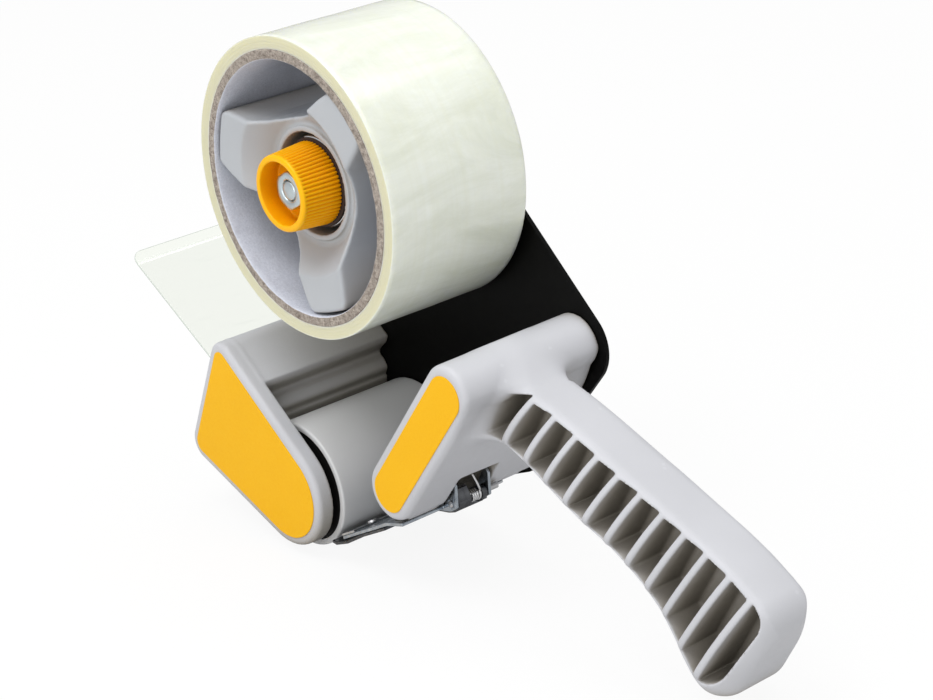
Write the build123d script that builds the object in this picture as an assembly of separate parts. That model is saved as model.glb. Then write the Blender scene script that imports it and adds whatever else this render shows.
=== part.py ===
from build123d import *
import math
import os

# Hand-held carton tape dispenser (tape gun), millimetres.
# Origin: where the hub axis meets the outer face of the side plate.
# +Y runs along the hub axis out of the side plate, so the free side, where a
# roll is loaded, is at -Y. +X points towards the hand grip, +Z is up when the
# gun stands on its tape roller and on the tip of its grip.
# Places are (x, z), circles are (x, z, radius). *_Y0 is the end of a piece on
# the side plate's side, *_Y1 its end on the free side.

# --------------------------------------------------------- shared dimensions
PLATE_T = 1.6
Y_IN = -PLATE_T                        # inner face of the side plate
PAST_PLATE, PAST_FREE = 1, -70         # cuts run out beyond the pieces here
RUN_FIT = 0.05                         # radial clearance of every running fit
LABEL_T = 0.3

ROLLER = (-16.51, -101.0)              # axis of the tape roller
AXLE_R, AXLE_END = 3.0, -54.5
ROLLER_R, ROLLER_WALL = 19.95, 2.0
ROLLER_Y0, ROLLER_Y1 = -2.1, -48.5

NOSE_LOW = (-58.17, -97.31, 6.4)       # corner circles of the nose
NOSE_TOP = (-44.02, -65.17, 5.8)
NOSE_CIRCLES = ((*ROLLER, 17.6), NOSE_LOW, NOSE_TOP)

BAR_TOP = (59.76, -48.28)              # end centres of the cross bar's section
BAR_LOW = (30.83, -87.04)
BAR_R = 9.65                           # end radius at the side plate

SCREW_R, SCREW_HEAD_R = 2.0, 3.7       # countersunk screws of the side plate
SCREW_TIP, SCREW_HOLE_END = -14.0, -14.2
SCREW_SLOT = (3.6, 0.8)                # length and width of each cross slot
SCREW_SLOT_DEPTH = 1.1
NOSE_SCREWS = [(-55.5, -95.5), (-44.0, -66.5)]
BAR_SCREWS = [(57.0, -52.0), (34.0, -82.8)]

os.makedirs("parts", exist_ok=True)


# -------------------------------------------------- flat figures in X and Z
def disc(x, z, r):
    return Pos(x, z) * Circle(r)


def hull(*circles):
    edges = []
    for circle in circles:
        edges += list(disc(*circle).edges())
    return make_hull(edges)


def poly(*points):
    return make_face(Polyline(*points, close=True))


def direction(angle):
    return (math.cos(math.radians(angle)), math.sin(math.radians(angle)))


def unit(start, end):
    """Unit vector from start to end."""
    dx, dz = end[0] - start[0], end[1] - start[1]
    length = math.hypot(dx, dz)
    return (dx / length, dz / length)


def turned(d):
    """The direction d after a quarter turn from +X to +Z."""
    return (-d[1], d[0])


def along(point, d, distance):
    return (point[0] + d[0] * distance, point[1] + d[1] * distance)


def sheet(path, thickness):
    """Closed outline of a bent sheet along a centre path, with mitred bends."""
    normals = [turned(unit(a, b)) for a, b in zip(path, path[1:])]
    left, right = [], []
    for i, point in enumerate(path):
        touching = normals[max(i - 1, 0):i + 1]
        mitre = unit((0, 0), (sum(n[0] for n in touching), sum(n[1] for n in touching)))
        cosine = mitre[0] * touching[0][0] + mitre[1] * touching[0][1]
        reach = thickness / 2 / cosine
        left.append(along(point, mitre, reach))
        right.append(along(point, mitre, -reach))
    return poly(*left, *right[::-1])


def largest_face(figure):
    return max(figure.faces(), key=lambda f: f.area)


# -------------------------------------------------------------------- solids
def slab(figure, y0, y1, taper=0.0):
    """Extrude a figure from y0 towards the free side, down to y1."""
    return extrude(Plane.XZ.offset(-y0) * figure, amount=y0 - y1, taper=taper)


def rod(x, z, r, y0, y1):
    return slab(disc(x, z, r), y0, y1)


def bore(x, z, r):
    """Cutter for a round hole right through any piece."""
    return rod(x, z, r, PAST_PLATE, PAST_FREE)


def cone(x, z, r0, r1, y0, y1):
    """Cone along Y, radius r0 at y0 and r1 at y1."""
    return Pos(x, (y0 + y1) / 2, z) * Rot(90, 0, 0) * Cone(r0, r1, y0 - y1)


def peg(plane, r, start, end):
    """Cylinder along a plane's normal, between two heights over the plane."""
    return plane * Pos(0, 0, (start + end) / 2) * Cylinder(r, end - start)


def coil_spring(x, z, y0, radius, wire_r, height, turns):
    helix = Helix(pitch=height / turns, height=height, radius=radius)
    wire = Plane(helix @ 0, z_dir=helix % 0) * Circle(wire_r)
    return Pos(x, y0, z) * Rot(90, 0, 0) * sweep(wire, path=helix, is_frenet=True)


def soften(part, edges, radius):
    """Round edges, with a smaller radius where the full one doesn't fit."""
    for r in (radius, radius * 0.7, radius * 0.4):
        # the fillet raises an error where its radius is too large for the edges
        try:
            rounded = fillet(edges, r)
            if all(s.is_valid for s in rounded.solids()):
                return rounded
        except Exception:
            pass
    return part


def face_edges(part, y):
    """Edges of the faces centred at height y."""
    return part.faces().filter_by(Axis.Y).filter_by(
        lambda f: abs(f.center().Y - y) < 0.01).edges()


def screw_head(x, z):
    return cone(x, z, SCREW_HEAD_R, SCREW_R, 0, SCREW_R - SCREW_HEAD_R)


def cut_screw_holes(part, places):
    for place in places:
        part -= rod(*place, SCREW_R, PAST_PLATE, SCREW_HOLE_END)
        part -= screw_head(*place)
    return part


def save(name, part):
    solids = part.solids()
    out = Compound(children=list(solids)) if len(solids) > 1 else solids[0]
    out.label = name
    export_step(out, f"parts/{name}.step")


# ---------------------------------------------------- side plate, its screws
PLATE_CIRCLES = ((0, 0, 18.0), (*BAR_TOP, 12.3), (*BAR_LOW, 11.0), (*ROLLER, 17.0),
                 NOSE_LOW, NOSE_TOP)
PLATE_EDGE_R = 0.4


def side_plate():
    plate = slab(hull(*PLATE_CIRCLES), 0, Y_IN)
    plate = soften(plate, face_edges(plate, 0), PLATE_EDGE_R)
    return cut_screw_holes(plate, NOSE_SCREWS + BAR_SCREWS)


def plate_screws():
    """Cross-slotted screws, heads flush with the side plate's outer face."""
    screws = Part()
    for place in NOSE_SCREWS + BAR_SCREWS:
        slots = Part() + [
            slab(Pos(*place) * Rot(0, 0, angle) * Rectangle(*SCREW_SLOT), 0, -SCREW_SLOT_DEPTH)
            for angle in (0, 90)]
        screws += rod(*place, SCREW_R, 0, SCREW_TIP) + screw_head(*place) - slots
    return screws


save("side_plate", side_plate())
save("plate_screws", plate_screws())

# -------------------------------------------------- nose housing, wiper flap
CHEEK_Y0, CHEEK_Y1 = -50.5, -56.0      # the cheek that closes the nose's free side
CHEEK_EDGE_R = 1.5
CHEEK_SKIN = 1.5                       # how far the cavity runs into the cheek, negated in Y
NOSE_WALL = 2.6
ROLLER_GAP = 0.7                       # between the tape roller and the nose
NOSE_BOSS_R = 4.8                      # material left round each screw
HINGE_WALL_R = 4.4                     # material left round the flap's hinge groove
NOSE_LABEL_INSET = 2.8
# (x, z) of the wavy edge on the nose's +X side, from top to bottom
WAVE = [(-28.2, -67.2), (-29.6, -71.6), (-33.6, -76.0), (-31.6, -78.4), (-30.4, -80.8),
        (-31.3, -83.3), (-30.9, -84.3), (-31.3, -86.6)]
WAVE_BACK = [(-5, -86), (-5, -60)]     # closes the figure cut away beyond the edge
# (x, z) outline of the cavity, before the walls round roller, hinge and screws
CAVITY = [(-47.6, -68.5), (-60.6, -96.6), (-58.0, -100.6), (-36.0, -108.9), (-30.0, -100.0),
          (-34.6, -84.5), (-36.9, -76.2), (-33.4, -70.8), (-42.6, -63.6)]

FLAP_T = 0.6
FLAP_PIVOT = (-51.9, -73.5)
FLAP_ANGLE = 148.5                     # direction of the flap from its hinge bead
FLAP_DIR = direction(FLAP_ANGLE)
FLAP_BEAD_R = 1.1
FLAP_Y0, FLAP_Y1 = -2.4, -50.2
FLAP_LEN = 51.0
LIP_LEN, LIP_ANGLE = 3.6, 122.0        # bent lip at the flap's far end
MOUTH_HALF = 0.36                      # half width of the mouth at the hinge
MOUTH_LEN = 9
MOUTH_UP, MOUTH_DOWN = 24, 19          # flare of the mouth, degrees


def nose_housing():
    gap_r = ROLLER_R + ROLLER_GAP
    wave = make_face(Spline(*WAVE) + Polyline(WAVE[-1], *WAVE_BACK, WAVE[0]))
    body = hull(*NOSE_CIRCLES) - disc(*ROLLER, gap_r) - wave
    body = body.faces().sort_by(Axis.X)[0]
    cavity = poly(*CAVITY)
    cavity -= disc(*ROLLER, gap_r + NOSE_WALL)
    cavity -= disc(*FLAP_PIVOT, HINGE_WALL_R)
    for place in NOSE_SCREWS:
        cavity -= disc(*place, NOSE_BOSS_R)
    cavity = largest_face(cavity)

    nose = slab(body, Y_IN, CHEEK_Y0)
    cheek = slab(hull(*NOSE_CIRCLES), CHEEK_Y0, CHEEK_Y1)
    cheek = soften(cheek, face_edges(cheek, CHEEK_Y1), CHEEK_EDGE_R)
    nose = nose + cheek
    nose -= slab(cavity, PAST_PLATE, CHEEK_Y0 + CHEEK_SKIN)
    nose -= rod(*ROLLER, AXLE_R, CHEEK_Y0 + 1, AXLE_END - 0.1)
    nose = cut_screw_holes(nose, NOSE_SCREWS)

    # hinge groove of the wiper flap, with a flared mouth for its swing
    upper = along(FLAP_PIVOT, turned(FLAP_DIR), -MOUTH_HALF)
    lower = along(FLAP_PIVOT, turned(FLAP_DIR), MOUTH_HALF)
    mouth = poly(upper,
                 along(upper, direction(FLAP_ANGLE - MOUTH_UP), MOUTH_LEN),
                 along(lower, direction(FLAP_ANGLE + MOUTH_DOWN), MOUTH_LEN),
                 lower)
    nose -= rod(*FLAP_PIVOT, FLAP_BEAD_R + RUN_FIT, PAST_PLATE, CHEEK_Y0)
    nose -= slab(mouth, PAST_PLATE, CHEEK_Y0)
    return nose.solids().sort_by(SortBy.VOLUME)[-1]


def nose_label():
    inset = [(x, z, r - NOSE_LABEL_INSET) for x, z, r in NOSE_CIRCLES]
    return slab(hull(*inset), CHEEK_Y1, CHEEK_Y1 - LABEL_T)


def wiper_flap():
    crease = along(FLAP_PIVOT, FLAP_DIR, FLAP_LEN)
    tip = along(crease, direction(LIP_ANGLE), LIP_LEN)
    bead = rod(*FLAP_PIVOT, FLAP_BEAD_R, FLAP_Y0, FLAP_Y1)
    return bead + slab(sheet([FLAP_PIVOT, crease, tip], FLAP_T), FLAP_Y0, FLAP_Y1)


save("nose_housing", nose_housing())
save("nose_label", nose_label())
save("wiper_flap", wiper_flap())

# --------------------------------------------------------------- tape roller
ROLLER_BORE_R = ROLLER_R - ROLLER_WALL
ROLLER_EDGE_R = 0.5
BUSH_INSET, BUSH_LEN = 0.6, 6.0
BUSH_BOSS_R, BUSH_BOSS_LEN = 6.0, 8.4


def tape_roller():
    tube = rod(*ROLLER, ROLLER_R, ROLLER_Y0, ROLLER_Y1) - bore(*ROLLER, ROLLER_BORE_R)
    return soften(tube, tube.edges().filter_by(GeomType.CIRCLE), ROLLER_EDGE_R)


def roller_bushes():
    """A bush in each end of the roller, its longer boss reaching inwards."""
    y0, y1 = ROLLER_Y0 - BUSH_INSET, ROLLER_Y1 + BUSH_INSET
    bushes = Part()
    for bush_y, boss_y in (((y0, y0 - BUSH_LEN), (y0, y0 - BUSH_BOSS_LEN)),
                           ((y1 + BUSH_LEN, y1), (y1 + BUSH_BOSS_LEN, y1))):
        bushes += rod(*ROLLER, ROLLER_BORE_R, *bush_y) + rod(*ROLLER, BUSH_BOSS_R, *boss_y)
    return bushes - bore(*ROLLER, AXLE_R + RUN_FIT)


save("tape_roller", tape_roller())
save("roller_bushes", roller_bushes())
save("roller_axle", rod(*ROLLER, AXLE_R, Y_IN, AXLE_END))

# ------------------------------------- foot of the blade holder, on the bar
HOLDER_T = 1.0
FOOT_NORMAL = (0.2974, -0.9547)        # normal of the land under the cross bar
FOOT_DIR = turned(FOOT_NORMAL)
FOOT = along(BAR_LOW, FOOT_NORMAL, BAR_R + 0.25 + HOLDER_T / 2)
FOOT_SCREW_R, FOOT_SCREW_LEN = 1.5, 7.7     # length inside the handle
FOOT_SCREW_PLACE = along(FOOT, FOOT_DIR, -4.5)
FOOT_SCREW_PLANES = [
    Plane(origin=(FOOT_SCREW_PLACE[0], y, FOOT_SCREW_PLACE[1]),
          z_dir=(FOOT_NORMAL[0], 0, FOOT_NORMAL[1])) for y in (-10.5, -42.5)]

# -------------------------------------------- handle: cross bar and rib grip
BAR_Y1 = -51.8                         # free end of the cross bar
BAR_DRAFT = 0.65                       # moulding draft, degrees
BAR_EDGE_R = 1.4
BAR_LABEL_R = 6.3
LAND_Y = ((-5.0, -16.0), (-37.0, -48.0))

GRIP_Y = -26.6                         # middle plane of the grip
GRIP_END_R = 3.0
WEB = 2.4                              # middle web of the grip
RIB = 2.1                              # rib thickness
RIB_DIR = (-0.49224, -0.87046)         # every rib lies along this direction
GRIP_DIR = turned(RIB_DIR)             # and the grip runs along this one

# The grip has its own frame from the origin: S runs along GRIP_DIR, across the
# ribs, and U runs down along RIB_DIR. Columns: S, U of the flat top band's
# edge, half width, slope of the shoulder under the band, depth to the underside.
BAND = 8.6                             # half width of the flat top band
GRIP = [(75.6, 11.3, 12.2, 0.95, 16.0), (83.0, 8.4, 12.8, 0.95, 17.5),
        (91.47, 5.07, 13.2, 0.95, 18.9), (100.35, 2.93, 13.2, 0.93, 19.8),
        (109.36, 1.38, 13.8, 0.92, 20.4), (118.38, 0.12, 14.6, 0.90, 20.3),
        (126.85, -1.09, 15.2, 0.86, 20.0), (135.49, -2.58, 15.1, 0.76, 20.1),
        (144.14, -3.79, 14.9, 0.66, 21.0), (152.67, -4.98, 14.7, 0.56, 22.9),
        (161.08, -6.15, 14.7, 0.48, 25.8), (170.05, -6.81, 15.3, 0.50, 29.8),
        (178.54, -6.63, 15.9, 0.52, 33.0), (184.5, -5.9, 15.7, 0.52, 32.6),
        (189.6, -3.4, 14.9, 0.52, 29.2)]
RIBS = [row[:2] for row in GRIP[2:13]]      # S and band edge U of each rib
# depth of the pockets at each rib, below the band's edge
POCKET_DEPTHS = [16.6, 17.6, 18.3, 18.2, 18.1, 18.6, 19.3, 21.2, 23.7, 27.1, 30.0]
POCKET_TOP, ROOT_TOP, TIP_TOP = 0.25, 0.3, 0.35     # pocket tops below the band's edge
# (x, z) of the root pocket's side next to the cross bar
ROOT_POCKET = [(63.9, -61.4), (67.4, -52.6), (70.4, -49.6)]
# the pocket in the grip's tip: S, and U below the band's edge at the last rib
TIP_POCKET = [(182.6, 1.0), (185.0, 2.2), (187.0, 4.8), (187.8, 8.0), (187.3, 21.1),
              (186.2, 26.0), (183.7, 28.6)]
TIP_POCKET_DEPTH = 29.8                # at the last rib
# (x, z) of the notch in the underside round the holder's ears
NOTCH = [(46.4, -85.4), (40.6, -81.1), (31.0, -94.2), (36, -104), (52, -100)]
NOTCH_Y = (-20.4, -36.0)


def from_grip(s, u):
    """A point of the grip's own frame in X and Z."""
    return along(along((0, 0), GRIP_DIR, s), RIB_DIR, u)


def grip_section(s, u, half_width, slope, depth):
    """Flat top band, sloping shoulders, upright sides, soft underside."""
    shoulder = half_width - BAND
    drop = shoulder / slope
    half = [(4.6, -0.7), (BAND - 0.5, -0.3), (BAND + 0.35 * shoulder, 0.38 * drop),
            (BAND + 0.74 * shoulder, 0.86 * drop), (half_width - 0.15, 1.5 * drop),
            (half_width, 0.5 * (1.5 * drop + depth - 3.6)), (half_width - 0.5, depth - 4.0),
            (half_width - 3.0, depth - 1.1), (half_width - 6.6, depth - 0.1)]
    points = [(0, -0.8)] + half + [(0, depth)] + [(-v, w) for v, w in half[::-1]]
    x, z = from_grip(s, u)
    plane = Plane(origin=(x, GRIP_Y, z), x_dir=(0, 1, 0), z_dir=(GRIP_DIR[0], 0, GRIP_DIR[1]))
    # the plane's own y axis points up, against U
    return plane * make_face(Spline(*[(v, -w) for v, w in points], periodic=True))


def grip_body():
    grip = loft([grip_section(*row) for row in GRIP])
    end_face = grip.faces().sort_by(
        lambda f: f.center().X * GRIP_DIR[0] + f.center().Z * GRIP_DIR[1])[-1]
    return soften(grip, end_face.edges(), GRIP_END_R)


def grip_pockets():
    """Figures of the pockets between the ribs, at the root and in the tip."""
    pockets = []
    stations = [(s, u, depth) for (s, u), depth in zip(RIBS, POCKET_DEPTHS)]
    for (s0, u0, depth0), (s1, u1, depth1) in zip(stations, stations[1:]):
        s0 += RIB / 2
        s1 -= RIB / 2
        pockets.append(poly(from_grip(s0, u0 + POCKET_TOP), from_grip(s1, u1 + POCKET_TOP),
                            from_grip(s1, u1 + depth1), from_grip(s0, u0 + depth0)))
    s, u, depth = stations[0]
    s -= RIB / 2
    pockets.append(poly(from_grip(s, u + ROOT_TOP), from_grip(s, u + depth), *ROOT_POCKET))
    s, u = RIBS[-1]
    s += RIB / 2
    outline = [(s, TIP_TOP)] + TIP_POCKET + [(s, TIP_POCKET_DEPTH)]
    pockets.append(poly(*[from_grip(a, u + b) for a, b in outline]))
    return pockets


def handle():
    bar = slab(hull((*BAR_TOP, BAR_R), (*BAR_LOW, BAR_R)), Y_IN, BAR_Y1, taper=BAR_DRAFT)
    bar = soften(bar, face_edges(bar, BAR_Y1), BAR_EDGE_R)
    body = bar + grip_body()
    # moulded from both sides down to the middle web
    for pocket in grip_pockets():
        body -= slab(pocket, GRIP_Y - WEB / 2, PAST_FREE)
        body -= slab(pocket, PAST_PLATE, GRIP_Y + WEB / 2)
    body -= slab(poly(*NOTCH), *NOTCH_Y)
    body = cut_screw_holes(body, BAR_SCREWS)
    # lands under the cross bar that the blade holder is screwed to
    seat = along(FOOT, FOOT_NORMAL, -HOLDER_T / 2)
    land = poly(along(seat, FOOT_DIR, 1.0), along(seat, FOOT_DIR, -7.0),
                (BAR_LOW[0] - 5.2, BAR_LOW[1] - 3.4), BAR_LOW)
    for y_range in LAND_Y:
        body += slab(land, *y_range)
    for plane in FOOT_SCREW_PLANES:
        body -= peg(plane, FOOT_SCREW_R, -FOOT_SCREW_LEN - 1.0, -HOLDER_T / 2)
    return body.solids().sort_by(SortBy.VOLUME)[-1]


save("handle", handle())
save("handle_label", slab(hull((*BAR_TOP, BAR_LABEL_R), (*BAR_LOW, BAR_LABEL_R)),
                          BAR_Y1, BAR_Y1 - LABEL_T))

# ------------------------------------------------------ blade and its holder
BLADE_T = 0.6
HOLDER_Y = (-2.4, -51.0)
BEND = (12.2, -107.2)                  # the holder's blade seat runs from here
SEAT_END = (5.0, -111.1)               # down to here
HOLDER_PATH = [along(FOOT, FOOT_DIR, 1.0), along(FOOT, FOOT_DIR, -7.2), BEND, SEAT_END]
# cut that shortens the foot on the side plate's side
FOOT_CUT = [(31.8, -90), (40, -90), (40, -104), (31.8, -104)]
FOOT_CUT_END = -17.4
FOOT_HOLE_R = 1.7
FOOT_HEAD_R, FOOT_HEAD_T = 2.4, 0.7
FOOT_SLOT_LEN, FOOT_SLOT_W, FOOT_SLOT_H = 2.8, 0.6, 0.8

PIN, PIN_R = (38.7, -94.4), 1.0        # hinge pin of the blade guard
PIN_Y = (-17.4, -35.5)
EAR_Y = ((-21.4, -22.4), (-34.2, -35.2))
EAR = [(29.4, -98.4), (30.2, -98.95), (38.6, -96.9), (40.9, -95.3), (40.9, -88.0),
       (40.0, -86.7), (38.4, -87.6), (36.2, -92.0), along(FOOT, FOOT_DIR, 0.8)]

SEAT_DIR = unit(SEAT_END, BEND)        # up the blade seat, away from the teeth
SEAT_NORMAL = turned(SEAT_DIR)         # up, away from the floor
BLADE_Y0, BLADE_Y1 = -3.2, -50.2
BLADE_MID = along(SEAT_END, SEAT_NORMAL, HOLDER_T / 2 + BLADE_T / 2)
BLADE_BACK, BLADE_EDGE = along(BLADE_MID, SEAT_DIR, 6.0), along(BLADE_MID, SEAT_DIR, -1.0)
N_TEETH = 16
TOOTH_PITCH = (BLADE_Y0 - BLADE_Y1) / N_TEETH
TOOTH_LEN, TOOTH_ROOT, TOOTH_GAP = 2.4, 0.2, 0.02   # root overlaps the blade

RIVET_R = 1.0
RIVET_PLACE = along(SEAT_END, SEAT_DIR, 3.4)
RIVET_PLANES = [Plane(origin=(RIVET_PLACE[0], y, RIVET_PLACE[1]),
                      z_dir=(SEAT_NORMAL[0], 0, SEAT_NORMAL[1])) for y in (-12.0, -41.0)]
RIVET_TOP_R, RIVET_TOP_T = 1.9, 0.6
RIVET_FOOT_R, RIVET_FOOT_T = 1.7, 0.3
RIVET_OVERLAP = 0.1                    # how far the shank enters each head


def cut_rivet_holes(part):
    for plane in RIVET_PLANES:
        part -= plane * Cylinder(RIVET_R, 6)
    return part


def blade_holder():
    holder = slab(sheet(HOLDER_PATH, HOLDER_T), *HOLDER_Y)
    holder -= slab(poly(*FOOT_CUT), PAST_PLATE, FOOT_CUT_END)
    for plane in FOOT_SCREW_PLANES:
        holder -= plane * Cylinder(FOOT_HOLE_R, 4)
    # two ears carry the guard's pin
    for y_range in EAR_Y:
        holder += slab(poly(*EAR), *y_range)
    holder -= bore(*PIN, PIN_R)
    return cut_rivet_holes(holder)


def cutting_blade():
    blade = slab(sheet([BLADE_BACK, BLADE_EDGE], BLADE_T), BLADE_Y0, BLADE_Y1)
    # the plane's y axis points out of the blade's edge
    plane = Plane(origin=(BLADE_EDGE[0], BLADE_Y1, BLADE_EDGE[1]), x_dir=(0, 1, 0),
                  z_dir=(SEAT_NORMAL[0], 0, SEAT_NORMAL[1]))
    points = [(0, -TOOTH_ROOT)]
    for k in range(N_TEETH):
        start = k * TOOTH_PITCH
        points += [(start + TOOTH_GAP, 0), (start + TOOTH_PITCH / 2, TOOTH_LEN),
                   (start + TOOTH_PITCH - TOOTH_GAP, 0)]
    points += [(N_TEETH * TOOTH_PITCH, -TOOTH_ROOT)]
    blade += extrude(plane * Pos(0, 0, -BLADE_T / 2) * poly(*points), amount=BLADE_T)
    return cut_rivet_holes(blade)


def blade_rivets():
    bottom, top = -HOLDER_T / 2, HOLDER_T / 2 + BLADE_T
    rivets = Part()
    for plane in RIVET_PLANES:
        rivets += (peg(plane, RIVET_R, bottom - RIVET_OVERLAP, top + RIVET_OVERLAP)
                   + peg(plane, RIVET_TOP_R, top, top + RIVET_TOP_T)
                   + peg(plane, RIVET_FOOT_R, bottom - RIVET_FOOT_T, bottom))
    return rivets


def holder_screws():
    under_head = HOLDER_T / 2
    head_top = under_head + FOOT_HEAD_T
    screws = Part()
    for plane in FOOT_SCREW_PLANES:
        slot_place = plane * Pos(0, 0, head_top)
        screws += (peg(plane, FOOT_SCREW_R, -FOOT_SCREW_LEN - 0.5, under_head)
                   + peg(plane, FOOT_HEAD_R, under_head, head_top)
                   - slot_place * Box(FOOT_SLOT_LEN, FOOT_SLOT_W, FOOT_SLOT_H)
                   - slot_place * Box(FOOT_SLOT_W, FOOT_SLOT_LEN, FOOT_SLOT_H))
    return screws


save("blade_holder", blade_holder())
save("cutting_blade", cutting_blade())
save("blade_rivets", blade_rivets())
save("holder_screws", holder_screws())

# --------------------------------------------------------------- blade guard
# A wide plate close under the holder, with a lipped front (-X) edge, and one
# arm between the ears to its hinge knuckles. Paths are (x, z).
GUARD_T = 0.8
GUARD_PATH = [(25.6, -101.35), (13.0, -108.1), (6.6, -112.3), (0.8, -114.75), (-1.1, -114.6)]
GUARD_Y = (-2.8, -50.6)
ARM_PATH = [(24.0, -102.2), (27.4, -100.45), (31.4, -99.2), (35.6, -98.35), (38.4, -97.3)]
ARM_Y0, ARM_Y1 = -22.8, -33.8
KNUCKLE_R = 2.1
KNUCKLE_ROOT = [(PIN[0] - 1.4, PIN[1] - 1.2), (PIN[0] + 2.0, PIN[1] - 0.5), (40.3, -96.4),
                (38.5, -97.4), (36.9, -97.9)]
KNUCKLE_HORN = (37.9, -91.3, 1.2)      # upper end of the free side's knuckle
FREE_KNUCKLE_Y0, PLATE_KNUCKLE_Y1 = -29.0, -24.6


def blade_guard():
    guard = slab(sheet(GUARD_PATH, GUARD_T), *GUARD_Y)
    guard += slab(sheet(ARM_PATH, GUARD_T), ARM_Y0, ARM_Y1)
    free_knuckle = hull((*PIN, KNUCKLE_R), KNUCKLE_HORN) + poly(*KNUCKLE_ROOT)
    guard += slab(free_knuckle, FREE_KNUCKLE_Y0, ARM_Y1)
    plate_knuckle = disc(*PIN, KNUCKLE_R) + poly(*KNUCKLE_ROOT)
    guard += slab(plate_knuckle, ARM_Y0, PLATE_KNUCKLE_Y1)
    return guard - bore(*PIN, PIN_R + RUN_FIT)


save("blade_guard", blade_guard())
save("guard_pin", rod(*PIN, PIN_R, *PIN_Y))
# torsion spring round the pin, between the knuckles
save("guard_spring", coil_spring(*PIN, y0=-25.1, radius=1.6, wire_r=0.36, height=3.44, turns=4))

# ------------------------------------------- hub, its spring and tension knob
SHAFT_R, SHAFT_END = 3.0, -54.9
SHAFT_BORE = bore(0, 0, SHAFT_R + RUN_FIT)
FRICTION_R = 16.5
HUB_Y0, HUB_RING_Y, WING_Y = -3.2, -46.0, -53.0     # back, ring front, wing front
HUB_RING_R, HUB_BORE_R = 18.4, 15.2
HUB_FLOOR_Y0, HUB_FLOOR_Y1 = -27.0, -30.0
HUB_CORE_R = 7.5                       # sleeve round the shaft behind the floor
FRONT_CONE_R0, FRONT_CONE_R1 = 19.0, 26.5
WING_R, WING_WALL = 38.0, 2.2
WING_HOLLOW_END = -42.0
WING_ANGLES = [47.5 + 120 * i for i in range(3)]

SEAT_R, SEAT_T = 14.3, 1.2             # spring seat on the hub's floor
WASHER_R, WASHER_T = 13.4, 1.0
SPRING_R, SPRING_WIRE_R, SPRING_TURNS = 12.6, 0.85, 4.5
SPRING_GAP = 0.03                      # at each end of the spring

KNOB_R, KNOB_RECESS_R = 12.4, 10.3
KNOB_Y0, KNOB_Y1 = -45.6, -58.8
KNOB_FLOOR = -51.5
KNOB_RIM, KNOB_EDGE_R = 1.2, 0.8       # plain rim at the free end
N_KNURLS, KNURL_DEPTH = 60, 0.38
KNOB_GROOVE_R0, KNOB_GROOVE_R1 = 7.6, 10.3          # ring groove facing the washer
KNOB_GROOVE_END = KNOB_FLOOR + 4.6
NUT_AF, NUT_ROUND_R = 10.6, 5.72       # across flats, radius its corners are turned to
NUT_Y0, NUT_Y1 = KNOB_FLOOR + 3.0, KNOB_FLOOR - 2.8


def wing(grow=0.0):
    """Figure of one wing, along +X, with its outline moved out by grow."""
    g = grow
    return poly((2.0, 20.4 + g), (11.0, 15.4 + g), (20.0, 11.9 + g), (31.0, 9.6 + g),
                (37.6 + g, 7.6 + g), (38.0 + g, -7.2 - g), (33.0, -9.4 - g),
                (22.5, -12.8 - g), (10.0, -17.6 - g), (0, -17.9 - g), (0, 20.4 + g))


def hub_wheel():
    figure = disc(0, 0, HUB_RING_R)
    for angle in WING_ANGLES:
        figure += (Rot(0, 0, angle) * wing()) & disc(0, 0, WING_R)
    wheel = slab(figure, HUB_Y0, WING_Y)
    # the free side falls from the wings to the ring round the spring pocket
    wheel -= cone(0, 0, FRONT_CONE_R0, FRONT_CONE_R1, HUB_RING_Y, WING_Y - 1)
    wheel -= rod(0, 0, HUB_BORE_R, HUB_FLOOR_Y1, PAST_FREE)
    # the wings are hollow from the side plate's side
    for angle in WING_ANGLES:
        hollow = Rot(0, 0, angle) * (wing(-WING_WALL) & disc(0, 0, WING_R - WING_WALL))
        hollow = largest_face(hollow - disc(0, 0, HUB_RING_R))
        wheel -= slab(hollow, PAST_PLATE, WING_HOLLOW_END)
    wheel -= slab(disc(0, 0, HUB_BORE_R) - disc(0, 0, HUB_CORE_R), PAST_PLATE, HUB_FLOOR_Y0)
    return wheel - SHAFT_BORE


def hub_spring():
    y0 = HUB_FLOOR_Y1 - SEAT_T - SPRING_WIRE_R - SPRING_GAP
    y1 = KNOB_Y0 + WASHER_T + SPRING_WIRE_R + SPRING_GAP
    return coil_spring(0, 0, y0, SPRING_R, SPRING_WIRE_R, y0 - y1, SPRING_TURNS)


def nut_hexagon():
    return RegularPolygon(NUT_AF / 2, 6, major_radius=False)


def tension_knob():
    points = []
    for i in range(N_KNURLS):
        crest = direction(360 * i / N_KNURLS)
        valley = direction(360 * (i + 0.5) / N_KNURLS)
        points += [along((0, 0), crest, KNOB_R), along((0, 0), valley, KNOB_R - KNURL_DEPTH)]
    knob = slab(poly(*points), KNOB_Y0, KNOB_Y1 + KNOB_RIM)
    knob += rod(0, 0, KNOB_R, KNOB_Y1 + KNOB_RIM, KNOB_Y1)
    knob = soften(knob, face_edges(knob, KNOB_Y1), KNOB_EDGE_R)
    knob -= rod(0, 0, KNOB_RECESS_R, KNOB_FLOOR, KNOB_Y1 - 1)
    knob -= slab(nut_hexagon(), NUT_Y0, KNOB_FLOOR - 1)
    knob -= SHAFT_BORE
    return knob - (rod(0, 0, KNOB_GROOVE_R1, KNOB_Y0 + 1, KNOB_GROOVE_END)
                   - rod(0, 0, KNOB_GROOVE_R0, KNOB_Y0 + 1, KNOB_GROOVE_END))


def knob_nut():
    nut = slab(nut_hexagon(), NUT_Y0, NUT_Y1)
    nut &= rod(0, 0, NUT_ROUND_R, KNOB_Y0, KNOB_Y1)
    return nut - SHAFT_BORE


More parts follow.
